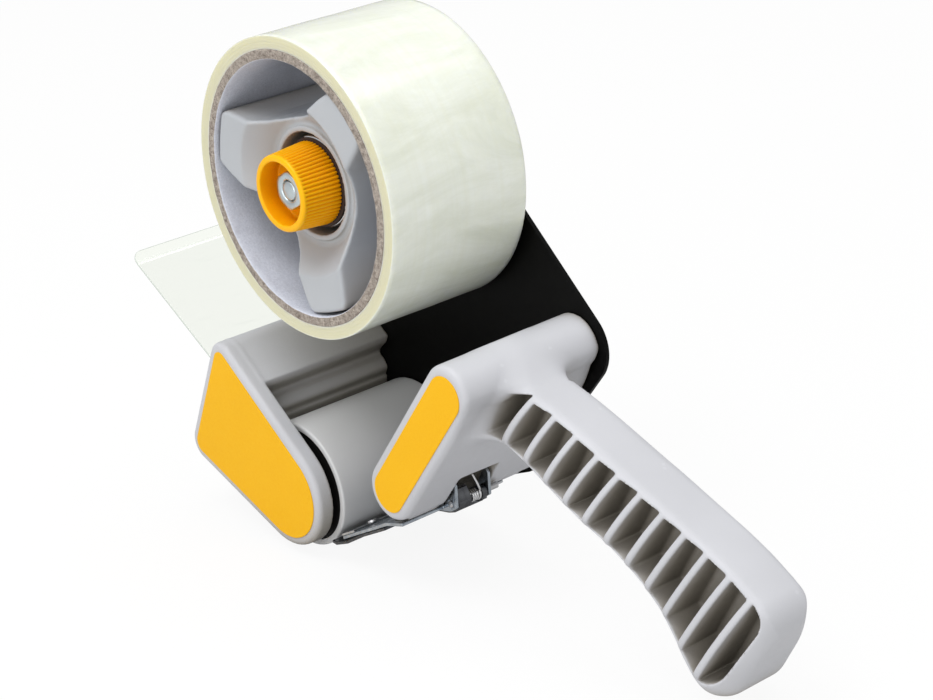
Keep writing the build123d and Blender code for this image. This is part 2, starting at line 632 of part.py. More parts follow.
save("hub_wheel", hub_wheel())
save("friction_disc", rod(0, 0, FRICTION_R, Y_IN, HUB_Y0) - SHAFT_BORE)
save("hub_shaft", rod(0, 0, SHAFT_R, Y_IN, SHAFT_END))
save("tension_washer", rod(0, 0, WASHER_R, KNOB_Y0 + WASHER_T, KNOB_Y0) - SHAFT_BORE)
save("spring_seat", rod(0, 0, SEAT_R, HUB_FLOOR_Y1, HUB_FLOOR_Y1 - SEAT_T) - SHAFT_BORE)
save("hub_spring", hub_spring())
save("tension_knob", tension_knob())
save("knob_nut", knob_nut())

# ----------------------------------------------------------------- tape roll
CORE_RI, CORE_RO = 38.1, 41.0          # 76 mm cardboard core
TAPE_RO = 45.0
ROLL_Y0, ROLL_Y1 = -4.2, -54.0
TAPE_INSET = 0.15                      # the winding ends short of the core

save("tape_core", rod(0, 0, CORE_RO, ROLL_Y0, ROLL_Y1) - bore(0, 0, CORE_RI))
save("tape_winding", rod(0, 0, TAPE_RO, ROLL_Y0 - TAPE_INSET, ROLL_Y1 + TAPE_INSET)
     - bore(0, 0, CORE_RO))
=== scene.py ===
# Hand-held tape dispenser: side plate, hub with tape roll, tape roller in a nose with a
# clear flap, blade and guard, and a ribbed grip on a cross bar.
# Lengths are millimetres in the row frame. The hub axis is the Y axis, y = 0 is the outer
# face of the side plate and the free side of the parts is towards -Y. The nose is at -X,
# the grip runs towards +X and down, +Z is up. Outlines are (x, z) points.
import itertools
import math

import bmesh
import bpy
import numpy as np
from mathutils import Matrix, Vector


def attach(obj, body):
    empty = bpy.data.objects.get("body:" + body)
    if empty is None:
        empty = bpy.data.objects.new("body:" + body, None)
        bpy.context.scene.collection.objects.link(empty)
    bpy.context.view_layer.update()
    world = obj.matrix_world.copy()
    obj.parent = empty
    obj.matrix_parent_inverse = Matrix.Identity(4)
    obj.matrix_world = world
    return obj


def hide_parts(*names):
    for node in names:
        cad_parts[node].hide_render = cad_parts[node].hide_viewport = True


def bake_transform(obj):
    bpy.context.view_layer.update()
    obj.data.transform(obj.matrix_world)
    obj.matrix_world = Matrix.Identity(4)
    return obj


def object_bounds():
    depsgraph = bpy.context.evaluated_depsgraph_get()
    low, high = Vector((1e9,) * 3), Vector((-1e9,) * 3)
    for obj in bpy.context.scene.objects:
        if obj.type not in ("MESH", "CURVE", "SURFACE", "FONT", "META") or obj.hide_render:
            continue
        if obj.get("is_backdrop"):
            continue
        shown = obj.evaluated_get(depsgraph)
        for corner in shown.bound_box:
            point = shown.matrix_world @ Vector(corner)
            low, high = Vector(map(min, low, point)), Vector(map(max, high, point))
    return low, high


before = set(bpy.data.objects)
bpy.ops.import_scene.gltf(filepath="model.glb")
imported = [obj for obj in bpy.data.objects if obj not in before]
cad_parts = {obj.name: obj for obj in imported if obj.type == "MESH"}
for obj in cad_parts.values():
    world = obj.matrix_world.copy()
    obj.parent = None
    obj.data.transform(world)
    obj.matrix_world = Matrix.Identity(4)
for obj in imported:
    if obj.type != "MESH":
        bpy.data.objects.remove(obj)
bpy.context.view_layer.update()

# ------------------------------------------------------------------ dimensions
MM = 0.001
PLATE_Y = -1.6                          # where the handle, nose and stud meet the plate
BAR_END_Y = -51.8                       # free end of the cross bar
NOSE_END_Y = -56.0                      # free face of the nose

ROLLER = (-16.51, -101.0)
ROLLER_BORE = 20.65                     # room for the roller in the nose
NOSE = [(*ROLLER, 17.6), (-58.17, -97.31, 6.4), (-44.02, -65.17, 5.8)]    # x, z, radius

FLAP_HINGE = (-51.9, -73.5)
FLAP_ANGLE = 148.5                      # degrees, from +X towards +Z
FLAP_LIP_ANGLE = 122.0

BAR_TOP, BAR_FOOT, BAR_RADIUS = (59.76, -48.28), (30.83, -87.04), 9.65
GRIP_Y = -26.6                          # middle plane of the grip
GRIP_DOWN = np.array((-0.492, -0.870))
GRIP_DOWN = GRIP_DOWN / np.linalg.norm(GRIP_DOWN)
GRIP_ALONG = np.array((-GRIP_DOWN[1], GRIP_DOWN[0]))
BAND_HALF_WIDTH = 8.6                   # flat band on top of the grip
# along the grip, band edge measured down, half width, shoulder slope, depth
GRIP = [
    (75.6, 11.3, 12.2, 0.95, 16.0), (83.0, 8.4, 12.8, 0.95, 17.5),
    (91.47, 5.07, 13.2, 0.95, 18.9), (100.35, 2.93, 13.2, 0.93, 19.8),
    (109.36, 1.38, 13.8, 0.92, 20.4), (118.38, 0.12, 14.6, 0.90, 20.3),
    (126.85, -1.09, 15.2, 0.86, 20.0), (135.49, -2.58, 15.1, 0.76, 20.1),
    (144.14, -3.79, 14.9, 0.66, 21.0), (152.67, -4.98, 14.7, 0.56, 22.9),
    (161.08, -6.15, 14.7, 0.48, 25.8), (170.05, -6.81, 15.3, 0.50, 29.8),
    (178.54, -6.63, 15.7, 0.52, 33.8), (184.5, -6.3, 15.0, 0.52, 34.6),
    (190.6, -5.9, 13.8, 0.52, 34.6)]
RIBS = GRIP[2:13]                       # stations that carry a cross rib
POCKET_DEPTHS = [16.6, 17.6, 18.3, 18.2, 18.1, 18.6, 19.3, 21.2, 23.7, 27.1, 30.0]  # per rib
RIB_HALF = 1.05

TAPE_INNER, TAPE_OUTER = 41.0, 45.0
TAPE_END_Y, TAPE_PLATE_Y = -53.85, -4.35
ROLL_MIDDLE_Y = -29
GUARD_PIN = (38.7, -94.4)


# ------------------------------------------------------------ outlines
def segment_distance(px, pz, start, end):
    (ax, az), (bx, bz) = start, end
    dx, dz = bx - ax, bz - az
    part = np.clip(((px - ax) * dx + (pz - az) * dz) / (dx * dx + dz * dz), 0, 1)
    return np.hypot(px - ax - part * dx, pz - az - part * dz)


def polygon_distance(px, pz, points):
    """Signed distance to a closed polygon, negative inside."""
    distance = np.full(np.broadcast(px, pz).shape, 1e9)
    sign = np.ones(distance.shape)
    for i, start in enumerate(points):
        end = points[(i + 1) % len(points)]
        distance = np.minimum(distance, segment_distance(px, pz, start, end))
        rising = (pz >= start[1]) & (pz < end[1])
        falling = (pz < start[1]) & (pz >= end[1])
        turn = (end[0] - start[0]) * (pz - start[1]) - (end[1] - start[1]) * (px - start[0])
        sign = np.where((rising & (turn > 0)) | (falling & (turn < 0)), -sign, sign)
    return distance * sign


def hull_outline(circles, steps=64):
    """Convex hull round circles (x, z, radius)."""
    angles = np.linspace(0, 2 * math.pi, steps, endpoint=False)
    points = sorted(set((round(x + r * math.cos(t), 6), round(z + r * math.sin(t), 6))
                        for x, z, r in circles for t in angles))

    def half(sequence):
        out = []
        for p in sequence:
            while len(out) > 1:
                (ax, az), (bx, bz) = out[-2:]
                if (bx - ax) * (p[1] - az) - (bz - az) * (p[0] - ax) > 0:
                    break
                out.pop()
            out.append(p)
        return out[:-1]
    return half(points) + half(points[::-1])


def catmull(points, steps):
    """Open Catmull-Rom curve through the points."""
    out = []
    last = len(points) - 1
    for i in range(last):
        quad = (points[max(i - 1, 0)], points[i], points[i + 1], points[min(i + 2, last)])
        for k in range(steps):
            t = k / steps
            out.append(tuple(
                0.5 * (2 * b + (c - a) * t + (2 * a - 5 * b + 4 * c - d) * t * t
                       + (3 * b - a - 3 * c + d) * t ** 3)
                for a, b, c, d in zip(*quad)))
    out.append(tuple(points[-1]))
    return out


def rounded(profile, steps=5):
    """Closed outline [(r, y, corner radius)] with its corners rounded."""
    out = []
    for i, (r, y, radius) in enumerate(profile):
        corner = np.array((r, y), float)
        if radius <= 0:
            out.append(tuple(corner))
            continue
        before = np.array(profile[i - 1][:2], float) - corner
        after = np.array(profile[(i + 1) % len(profile)][:2], float) - corner
        len_before, len_after = np.linalg.norm(before), np.linalg.norm(after)
        before, after = before / len_before, after / len_after
        angle = math.acos(max(-1, min(1, float(before @ after))))
        trim = min(radius / math.tan(angle / 2), len_before * 0.49, len_after * 0.49)
        radius = trim * math.tan(angle / 2)
        bisector = (before + after) / np.linalg.norm(before + after)
        centre = corner + bisector * radius / math.sin(angle / 2)
        first, last = corner + before * trim - centre, corner + after * trim - centre
        sweep = math.acos(max(-1, min(1, float(first @ last) / (radius * radius))))
        for k in range(steps + 1):
            t = k / steps
            arm = math.sin((1 - t) * sweep) * first + math.sin(t * sweep) * last
            out.append(tuple(centre + arm / math.sin(sweep)))
    return out


# ------------------------------------------------------------ solids from distance fields
CORNERS = list(itertools.product((0, 1), repeat=3))
RELAX_PASSES = 2


def union(a, b, radius):
    """Union of two distances, with a fillet of this radius in the joint."""
    return (np.maximum(radius, np.minimum(a, b))
            - np.hypot(np.maximum(radius - a, 0), np.maximum(radius - b, 0)))


def intersect(a, b, radius):
    """Intersection of two distances, with its edge rounded to this radius."""
    return (np.minimum(-radius, np.maximum(a, b))
            + np.hypot(np.maximum(radius + a, 0), np.maximum(radius + b, 0)))


def new_object(name, mesh):
    ob = bpy.data.objects.new(name, mesh)
    bpy.context.scene.collection.objects.link(ob)
    return ob


def shade_smooth(mesh):
    mesh.polygons.foreach_set("use_smooth", np.ones(len(mesh.polygons), bool))


class Grid:
    """Regular grid on which a solid is described by its signed distance."""

    def __init__(self, low, high, step):
        self.low, self.step = np.array(low, float), step
        count = [int(math.ceil((high[i] - low[i]) / step)) + 1 for i in range(3)]
        axes = [self.low[i] + step * np.arange(count[i]) for i in range(3)]
        self.x = axes[0][:, None, None]
        self.y = axes[1][None, :, None]
        self.z = axes[2][None, None, :]
        self.flat_x, self.flat_z = self.x[:, 0, :], self.z[0, :, :]

    def outline(self, points):
        return polygon_distance(self.flat_x, self.flat_z, points)[:, None, :]

    def disc(self, centre, radius):
        return np.hypot(self.x - centre[0], self.z - centre[1]) - radius

    def slab(self, y0, y1):
        """Everything between two places along Y."""
        return np.abs(self.y - (y0 + y1) / 2) - abs(y1 - y0) / 2

    def mesh(self, name, field):
        """Surface net of the zero level: a point per mixed cell, a quad per crossed edge."""
        field = field.astype(np.float32)
        inside = field < 0
        size = field.shape
        count = np.zeros([n - 1 for n in size], np.int8)
        for a, b, c in CORNERS:
            count += inside[a:size[0] - 1 + a, b:size[1] - 1 + b, c:size[2] - 1 + c]
        mixed = (count > 0) & (count < 8)
        cells = np.stack(np.nonzero(mixed), 1)
        index = np.full(mixed.shape, -1, np.int64)
        index[mixed] = np.arange(len(cells))
        points = cells + self.mean_crossing(field, cells)
        quads = np.concatenate([self.crossed_quads(inside, index, axis) for axis in range(3)])
        points = self.relax(field, points, quads)

        mesh = bpy.data.meshes.new(name)
        mesh.vertices.add(len(points))
        places = (points * self.step + self.low) * MM
        mesh.vertices.foreach_set("co", places.astype(np.float32).ravel())
        mesh.loops.add(quads.size)
        mesh.loops.foreach_set("vertex_index", quads.astype(np.int32).ravel())
        mesh.polygons.add(len(quads))
        mesh.polygons.foreach_set("loop_start", np.arange(0, quads.size, 4, dtype=np.int32))
        mesh.update(calc_edges=True)
        mesh.validate()
        shade_smooth(mesh)
        return new_object(name, mesh)

    @staticmethod
    def mean_crossing(field, cells):
        """Mean of the places where the surface crosses each cell's edges."""
        values = {corner: field[tuple((cells + corner).T)] for corner in CORNERS}
        total = np.zeros((len(cells), 3))
        number = np.zeros(len(cells))
        for start, axis in itertools.product(CORNERS, range(3)):
            if start[axis]:
                continue
            end = tuple(1 if i == axis else start[i] for i in range(3))
            d0, d1 = values[start], values[end]
            crosses = (d0 < 0) != (d1 < 0)
            place = np.tile(np.array(start, float), (len(cells), 1))
            place[:, axis] += np.where(crosses, d0 / np.where(crosses, d0 - d1, 1), 0)
            total[crosses] += place[crosses]
            number[crosses] += 1
        return total / number[:, None]

    @staticmethod
    def crossed_quads(inside, index, axis):
        """Quads round the grid edges along one axis that the surface crosses."""
        side_a, side_b = (axis + 1) % 3, (axis + 2) % 3
        lower, upper = [slice(None)] * 3, [slice(None)] * 3
        lower[axis], upper[axis] = slice(0, -1), slice(1, None)
        first = inside[tuple(lower)]
        edges = np.stack(np.nonzero(first != inside[tuple(upper)]), 1)
        for side in (side_a, side_b):
            edges = edges[(edges[:, side] > 0) & (edges[:, side] < inside.shape[side] - 1)]

        def cell(back_a, back_b):
            near = edges.copy()
            near[:, side_a] -= back_a
            near[:, side_b] -= back_b
            return index[tuple(near.T)]
        quads = np.stack([cell(1, 1), cell(0, 1), cell(0, 0), cell(1, 0)], 1)
        outward = ~first[tuple(edges.T)]
        quads[outward] = quads[outward][:, ::-1]
        return quads

    def relax(self, field, points, quads):
        """Even the points out, pulling them back onto the surface after each pass."""
        edges = np.concatenate([quads[:, [i, (i + 1) % 4]] for i in range(4)])
        start, end = edges.T
        total = len(points)
        degree = np.bincount(edges.ravel(), minlength=total).astype(float)
        for _ in range(RELAX_PASSES):
            mean = np.stack([(np.bincount(start, points[end, i], total)
                              + np.bincount(end, points[start, i], total)) / degree
                             for i in range(3)], 1)
            points = points + 0.5 * (mean - points)
            value, slope = self.sample(field, points)
            steepness = np.maximum((slope * slope).sum(1), 1e-3 * self.step ** 2)
            points = points - np.clip(value / steepness, -1, 1)[:, None] * slope
        return points

    @staticmethod
    def sample(field, points):
        """Trilinear value and slope of the field."""
        points = np.clip(points, 0, np.array(field.shape) - 1.001)
        base = points.astype(int)
        part = points - base
        total, slope = 0, np.zeros_like(points)
        for corner in CORNERS:
            value = field[tuple((base + corner).T)]
            weight = [part[:, i] if corner[i] else 1 - part[:, i] for i in range(3)]
            total = total + value * weight[0] * weight[1] * weight[2]
            for axis in range(3):
                one, two = [weight[i] for i in range(3) if i != axis]
                slope[:, axis] += value * (1 if corner[axis] else -1) * one * two
        return total, slope


# ------------------------------------------------------------ solids from rings
def mesh_object(name, verts, faces, smooth=True):
    mesh = bpy.data.meshes.new(name)
    mesh.from_pydata([tuple(c * MM for c in v) for v in verts], [], faces)
    mesh.validate()
    mesh.update()
    bm = bmesh.new()
    bm.from_mesh(mesh)
    bmesh.ops.recalc_face_normals(bm, faces=bm.faces)
    bm.to_mesh(mesh)
    bm.free()
    if smooth:
        shade_smooth(mesh)
    return new_object(name, mesh)


def ring_mesh(name, rings, wrap=False, smooth=True):
    """Skin over equal rings of points, wrapped last to first or capped at both ends."""
    size = len(rings[0])
    faces = []
    for k in range(len(rings) if wrap else len(rings) - 1):
        this, following = k * size, (k + 1) % len(rings) * size
        for i in range(size):
            j = (i + 1) % size
            faces.append((this + i, this + j, following + j, following + i))
    if not wrap:
        last = (len(rings) - 1) * size
        faces += [tuple(range(size))[::-1], tuple(range(last, last + size))]
    return mesh_object(name, [p for ring in rings for p in ring], faces, smooth)


def turned_ring(radii, y):
    """Ring round the hub axis, its radii evenly spread in angle."""
    step = [2 * math.pi * i / len(radii) for i in range(len(radii))]
    return [(r * math.cos(t), y, r * math.sin(t)) for r, t in zip(radii, step)]


def lathe(name, profile, steps, centre=(0.0, 0.0), warp=None, spacing=1.5):
    """Closed outline [(r, y)] turned round an axis along Y; warp(r, y, angle) moves points."""
    fine = []
    for i in range(len(profile)):
        a, b = np.array(profile[i]), np.array(profile[(i + 1) % len(profile)])
        pieces = max(1, int(np.linalg.norm(b - a) / spacing))
        fine += [a + (b - a) * j / pieces for j in range(pieces)]
    rings = []
    for i in range(steps):
        t = 2 * math.pi * i / steps
        ring = [warp(r, y, t) if warp else (r, y) for r, y in fine]
        rings.append([(centre[0] + r * math.cos(t), y, centre[1] + r * math.sin(t))
                      for r, y in ring])
    return ring_mesh(name, rings, wrap=True)


def tube(name, path, radius, sides):
    """A round wire along a list of points, with domed ends."""
    path = np.array(path, float)
    tangents = np.gradient(path, axis=0)
    tangents /= np.linalg.norm(tangents, axis=1)[:, None]
    normal = np.cross(tangents[0], (0, 1, 0.3))
    normal /= np.linalg.norm(normal)
    dome = (0.35, 0.7, 0.95)            # places of the dome's rings, in wire radii
    rings = []
    for i, (point, tangent) in enumerate(zip(path, tangents)):
        normal = normal - tangent * (normal @ tangent)
        normal /= np.linalg.norm(normal)
        binormal = np.cross(tangent, normal)
        offsets = [0.0]
        if i == 0:
            offsets = [-f for f in dome[::-1]] + offsets
        if i == len(path) - 1:
            offsets = offsets + list(dome)
        for f in offsets:
            centre = point + tangent * radius * f
            width = radius * math.sqrt(1 - f * f)
            angles = [2 * math.pi * k / sides for k in range(sides)]
            rings.append([tuple(centre + width * (math.cos(a) * normal
                                                  + math.sin(a) * binormal))
                          for a in angles])
    return ring_mesh(name, rings)


# ------------------------------------------------------------------- materials
def shade(color, gain, lift=0.0):
    return tuple(min(1, v * gain + lift) for v in color)


class Material:
    """Short-hand for one material's node tree."""

    def __init__(self, name):
        self.material = bpy.data.materials.new(name)
        self.material.use_nodes = True
        self.tree = self.material.node_tree
        self.tree.nodes.clear()
        self.output = self.node("OutputMaterial")
        self.position = self.node("TexCoord").outputs["Object"]

    def node(self, kind, inputs=None, **settings):
        node = self.tree.nodes.new("ShaderNode" + kind)
        for key, value in settings.items():
            setattr(node, key, value)
        for key, value in (inputs or {}).items():
            socket = node.inputs[key]
            if isinstance(value, bpy.types.NodeSocket):
                self.tree.links.new(value, socket)
            elif isinstance(value, tuple) and socket.type == "RGBA":
                socket.default_value = (*value, 1)
            else:
                socket.default_value = value
        return node

    def noise(self, scale, detail=2, rough=0.5, at=None, distortion=0.0):
        return self.node("TexNoise", {
            "Vector": at or self.position, "Scale": scale, "Detail": detail,
            "Roughness": rough, "Distortion": distortion}).outputs["Fac"]

    def cells(self, scale):
        return self.node("TexVoronoi", {
            "Vector": self.position, "Scale": scale}).outputs["Distance"]

    def ramp(self, value, over, to=(0.0, 1.0)):
        """Map the range `over` onto the range `to`."""
        return self.node("MapRange", {
            "Value": value, "From Min": over[0], "From Max": over[1],
            "To Min": to[0], "To Max": to[1]}).outputs["Result"]

    def math(self, operation, a, b=0.0):
        return self.node("Math", {0: a, 1: b, 2: 0.0}, operation=operation).outputs[0]

    def times(self, a, b):
        return self.math("MULTIPLY", a, b)

    def plus(self, a, b):
        return self.math("ADD", a, b)

    def mix(self, factor, a, b):
        return self.node("Mix", {"Factor": factor, 6: a, 7: b}, data_type="RGBA").outputs[2]

    def mix_shader(self, factor, a, b):
        return self.node("MixShader", {0: factor, 1: a, 2: b}).outputs[0]

    def bump(self, height, strength, distance, under=None):
        inputs = {"Height": height, "Strength": strength, "Distance": distance}
        if under is not None:
            inputs["Normal"] = under
        return self.node("Bump", inputs).outputs["Normal"]

    def stretched(self, scale):
        return self.node("Mapping", {
            "Vector": self.position, "Scale": scale}).outputs["Vector"]

    def xyz(self):
        return self.node("SeparateXYZ", {"Vector": self.position}).outputs

    def radius(self, x, z):
        """Distance from the hub axis."""
        return self.math("SQRT", self.plus(self.times(x, x), self.times(z, z)))

    def openness(self, distance):
        """Ambient occlusion: 1 in the open, 0 deep in corners."""
        return self.node("AmbientOcclusion", {"Distance": distance}, samples=6).outputs["AO"]

    def finish(self, shader):
        self.tree.links.new(shader, self.output.inputs["Surface"])
        return self.material

    def principled(self, inputs):
        return self.finish(self.node("BsdfPrincipled", inputs).outputs[0])


def moulded(name, color, rough=0.42, grain=1.0, specular=0.5, edge=0.06, subsurface=0.0,
            painted_shade=None, reach=0.016):
    """Moulded plastic: fine grain, faint flow marks, lighter rubbed edges, painted shade in
    corners.
    """
    mat = Material(name)
    fine = mat.noise(scale=2600, detail=3, rough=0.6)
    middle = mat.noise(scale=420, detail=3, rough=0.6)
    broad = mat.noise(scale=28)
    rubbed = mat.ramp(mat.node("NewGeometry").outputs["Pointiness"], over=(0.52, 0.60))
    paint = mat.mix(mat.ramp(broad, over=(0.35, 0.7)),
                    shade(color, gain=0.955), shade(color, gain=1.03))
    paint = mat.mix(mat.times(rubbed, edge * 3), paint, shade(color, gain=1.25, lift=0.03))
    paint = mat.mix(mat.ramp(middle, over=(0.62, 0.8), to=(0, 0.10)),
                    paint, shade(color, gain=0.85))
    if painted_shade:                            # painted shade: an AO node darkens corners and recesses, darkest in the deepest
        openness = mat.openness(distance=reach)
        paint = mat.mix(mat.ramp(openness, over=(0.30, 0.80), to=(0.92, 0)), paint, painted_shade)
        paint = mat.mix(mat.ramp(openness, over=(0.06, 0.30), to=(0.75, 0)),
                        paint, shade(painted_shade, gain=0.30))
    normal = mat.bump(fine, strength=0.10 * grain, distance=0.00012)
    normal = mat.bump(middle, strength=0.05 * grain, distance=0.0003, under=normal)
    return mat.principled({
        "Base Color": paint, "Normal": normal,
        "Roughness": mat.plus(
            mat.ramp(middle, over=(0.3, 0.7), to=(rough - 0.05, rough + 0.07)),
            mat.times(rubbed, -0.06)),
        "Specular IOR Level": specular, "Coat Roughness": 0.12,
        "Subsurface Weight": subsurface, "Subsurface Scale": 0.002})


def metal(name, color, rough=0.3, stretch=(30, 900, 30), spangle=0.0, scratch=0.25,
          tint=(0.35, 0.38, 0.45)):
    """Plated or brushed metal: fine drawn lines, dull patches, tinted zinc spangle."""
    mat = Material(name)
    lines = mat.noise(scale=1.0, detail=4, rough=0.65, at=mat.stretched(stretch))
    patches = mat.noise(scale=90, detail=3, rough=0.6)
    fine = mat.noise(scale=1800, rough=0.6)
    paint = mat.mix(mat.ramp(patches, over=(0.3, 0.7)), color, shade(color, gain=0.82))
    if spangle:
        flakes = mat.ramp(mat.cells(scale=330.0), over=(0.1, 0.6))
        paint = mat.mix(mat.times(flakes, spangle), paint, tint)
    normal = mat.bump(lines, strength=scratch, distance=0.00008)
    normal = mat.bump(fine, strength=0.08, distance=0.00006, under=normal)
    return mat.principled({
        "Base Color": paint, "Normal": normal, "Metallic": 1.0,
        "Roughness": mat.plus(
            mat.ramp(lines, over=(0.3, 0.7), to=(rough - 0.08, rough + 0.10)),
            mat.ramp(patches, over=(0.35, 0.65), to=(-0.04, 0.06)))})


def felt(name):
    mat = Material(name)
    fibres = mat.noise(scale=1500, detail=5, rough=0.8)
    tufts = mat.noise(scale=300, detail=3, rough=0.6)
    return mat.principled({
        "Base Color": mat.mix(fibres, (0.035, 0.035, 0.038), (0.12, 0.12, 0.125)),
        "Roughness": 0.95,
        "Normal": mat.bump(mat.plus(fibres, tufts), strength=0.7, distance=0.0003)})


def label_film(name):
    """Yellow label: slightly speckled, with broad paler patches."""
    mat = Material(name)
    fine = mat.noise(scale=1500, detail=3, rough=0.7)
    broad = mat.noise(scale=35)
    paint = mat.mix(mat.ramp(fine, over=(0.3, 0.75)),
                    (0.90, 0.49, 0.006), (0.87, 0.44, 0.005))
    paint = mat.mix(mat.ramp(broad, over=(0.4, 0.7), to=(0, 0.25)),
                    paint, (0.95, 0.53, 0.010))
    return mat.principled({
        "Base Color": paint, "Specular IOR Level": 0.12,
        "Roughness": mat.ramp(fine, over=(0.3, 0.7), to=(0.40, 0.50)),
        "Normal": mat.bump(fine, strength=0.10, distance=0.0001)})


def cardboard(name):
    """Cardboard tube: pale lilac-grey liner with a spiral seam and painted shade inside,
    speckled brown cut edge.
    """
    seam_turns_per_metre, seam_phase = 16.0, 3.18
    ply_thickness = 0.00048
    mat = Material(name)
    x, y, z = mat.xyz()
    radius = mat.radius(x, z)
    liner = mat.ramp(radius, over=(0.03815, 0.03835), to=(1, 0))
    angle = mat.math("DIVIDE", mat.math("ARCTAN2", z, x), 2 * math.pi)
    spiral = mat.plus(angle, mat.times(y, seam_turns_per_metre))
    turn = mat.math("FRACT", mat.plus(spiral, seam_phase))
    from_seam = mat.math("ABSOLUTE", mat.math("SUBTRACT", turn, 0.5))
    seam = mat.ramp(from_seam, over=(0.0, 0.0030), to=(1, 0))

    fibres = mat.noise(scale=1300, detail=5, rough=0.75)
    blotches = mat.noise(scale=160, detail=4, rough=0.7)
    paper = mat.mix(mat.ramp(fibres, over=(0.3, 0.72)),
                    (0.64, 0.68, 0.79), (0.86, 0.90, 1.0))
    paper = mat.mix(mat.ramp(blotches, over=(0.45, 0.75), to=(0, 0.25)),
                    paper, (0.44, 0.45, 0.51))
    paper = mat.mix(mat.times(seam, 0.55), paper, (0.22, 0.21, 0.24))
    # painted shade: the liner darkens inside the tube where the AO node finds the hub and
    # wings close
    paper = mat.mix(mat.ramp(mat.openness(distance=0.045), over=(0.12, 0.50), to=(0.60, 0)),
                    paper, (0.16, 0.155, 0.165))

    speckle = mat.ramp(mat.noise(scale=900, detail=6, rough=0.85), over=(0.36, 0.66))
    board = mat.mix(speckle, (0.13, 0.10, 0.08), (0.68, 0.60, 0.52))
    board = mat.mix(mat.ramp(mat.cells(scale=1500.0), over=(0.0, 0.35), to=(0.7, 0)),
                    board, (0.13, 0.11, 0.10))
    plies = mat.math("SINE", mat.times(radius, 2 * math.pi / ply_thickness))
    board = mat.mix(mat.ramp(plies, over=(-1, 1), to=(0, 0.22)), board, (0.16, 0.13, 0.12))

    height = mat.plus(mat.times(fibres, 1.0), mat.times(seam, -1.2))
    on_board = mat.times(speckle, mat.math("SUBTRACT", 1.0, liner))
    height = mat.plus(height, mat.times(on_board, 1.5))
    return mat.principled({
        "Base Color": mat.mix(liner, board, paper),
        "Roughness": mat.ramp(fibres, over=(0.3, 0.7), to=(0.72, 0.88)),
        "Normal": mat.bump(height, strength=0.5, distance=0.00025)})


def wound_tape(name):
    """Wound clear film: pale cream, cloudy outside, with yellower ringed ends."""
    mat = Material(name)
    x, y, z = mat.xyz()
    radius = mat.radius(x, z)
    outside = mat.ramp(radius, over=(0.04475, 0.04490))
    clouds = mat.noise(scale=1.0, detail=5, rough=0.7, at=mat.stretched((60, 22, 60)),
                       distortion=0.9)
    bands = mat.noise(scale=1.0, detail=3, rough=0.6, at=mat.stretched((4, 500, 4)))
    fine = mat.noise(scale=700, detail=4, rough=0.7)
    face = mat.mix(mat.ramp(clouds, over=(0.32, 0.68)),
                   (0.70, 0.73, 0.63), (0.85, 0.88, 0.81))
    face = mat.mix(mat.ramp(fine, over=(0.55, 0.8), to=(0, 0.22)), face, (0.88, 0.89, 0.80))
    face = mat.mix(mat.ramp(bands, over=(0.35, 0.65), to=(0.0, 0.18)),
                   face, (0.70, 0.71, 0.55))

    # fine across the windings, slow along the axis
    wound = mat.node("CombineXYZ", {"X": mat.times(radius, 9000.0), "Y": mat.times(y, 20.0)})
    rings = mat.noise(scale=1.0, detail=5, rough=0.8, at=wound.outputs[0])
    end = mat.mix(mat.ramp(rings, over=(0.3, 0.7)), (0.60, 0.57, 0.36), (0.76, 0.74, 0.54))
    inner_rim = mat.ramp(radius, over=(0.0411, 0.0415), to=(1, 0))
    end = mat.mix(mat.times(inner_rim, 0.75), end, (0.86, 0.86, 0.78))
    outer_rim = mat.ramp(radius, over=(0.0444, 0.0449))
    end = mat.mix(mat.times(outer_rim, 0.5), end, (0.84, 0.84, 0.70))

    waves = mat.plus(mat.times(clouds, 0.8), mat.times(bands, 0.5))
    return mat.principled({
        "Base Color": mat.mix(outside, end, face),
        "Roughness": mat.mix(outside, mat.ramp(rings, over=(0.3, 0.7), to=(0.30, 0.50)),
                             mat.ramp(clouds, over=(0.3, 0.7), to=(0.16, 0.26))),
        "Normal": mat.bump(mat.mix(outside, rings, waves), strength=0.22, distance=0.0003),
        "Subsurface Weight": 0.35, "Subsurface Scale": 0.004,
        "Subsurface Radius": (1.0, 0.95, 0.6),
        "Coat Weight": 0.35, "Coat Roughness": 0.08})


def clear_sheet(name):
    """Clear sheet: nearly invisible face-on, pale green cut edges, faint rub marks."""
    mat = Material(name)
    fresnel = mat.node("LayerWeight", {"Blend": 0.35}).outputs["Fresnel"]
    marks = mat.noise(scale=1.0, detail=5, rough=0.75, at=mat.stretched((300, 40, 300)))
    scuffs = mat.ramp(marks, over=(0.56, 0.75))
    clear = mat.node("BsdfTransparent", {"Color": (0.980, 0.991, 0.962)}).outputs[0]
    gloss = mat.node("BsdfGlossy", {"Roughness": 0.10, "Color": (1, 1, 1)}).outputs[0]
    milky = mat.node("BsdfDiffuse", {"Color": (0.46, 0.54, 0.48)}).outputs[0]
    body = mat.mix_shader(mat.plus(mat.times(fresnel, 0.16), 0.008), clear, gloss)
    edge = mat.node("Attribute", attribute_name="cut").outputs["Fac"]
    cloudy = mat.plus(mat.times(edge, 0.42), mat.times(scuffs, 0.03))
    return mat.finish(mat.mix_shader(mat.plus(cloudy, 0.012), body, milky))


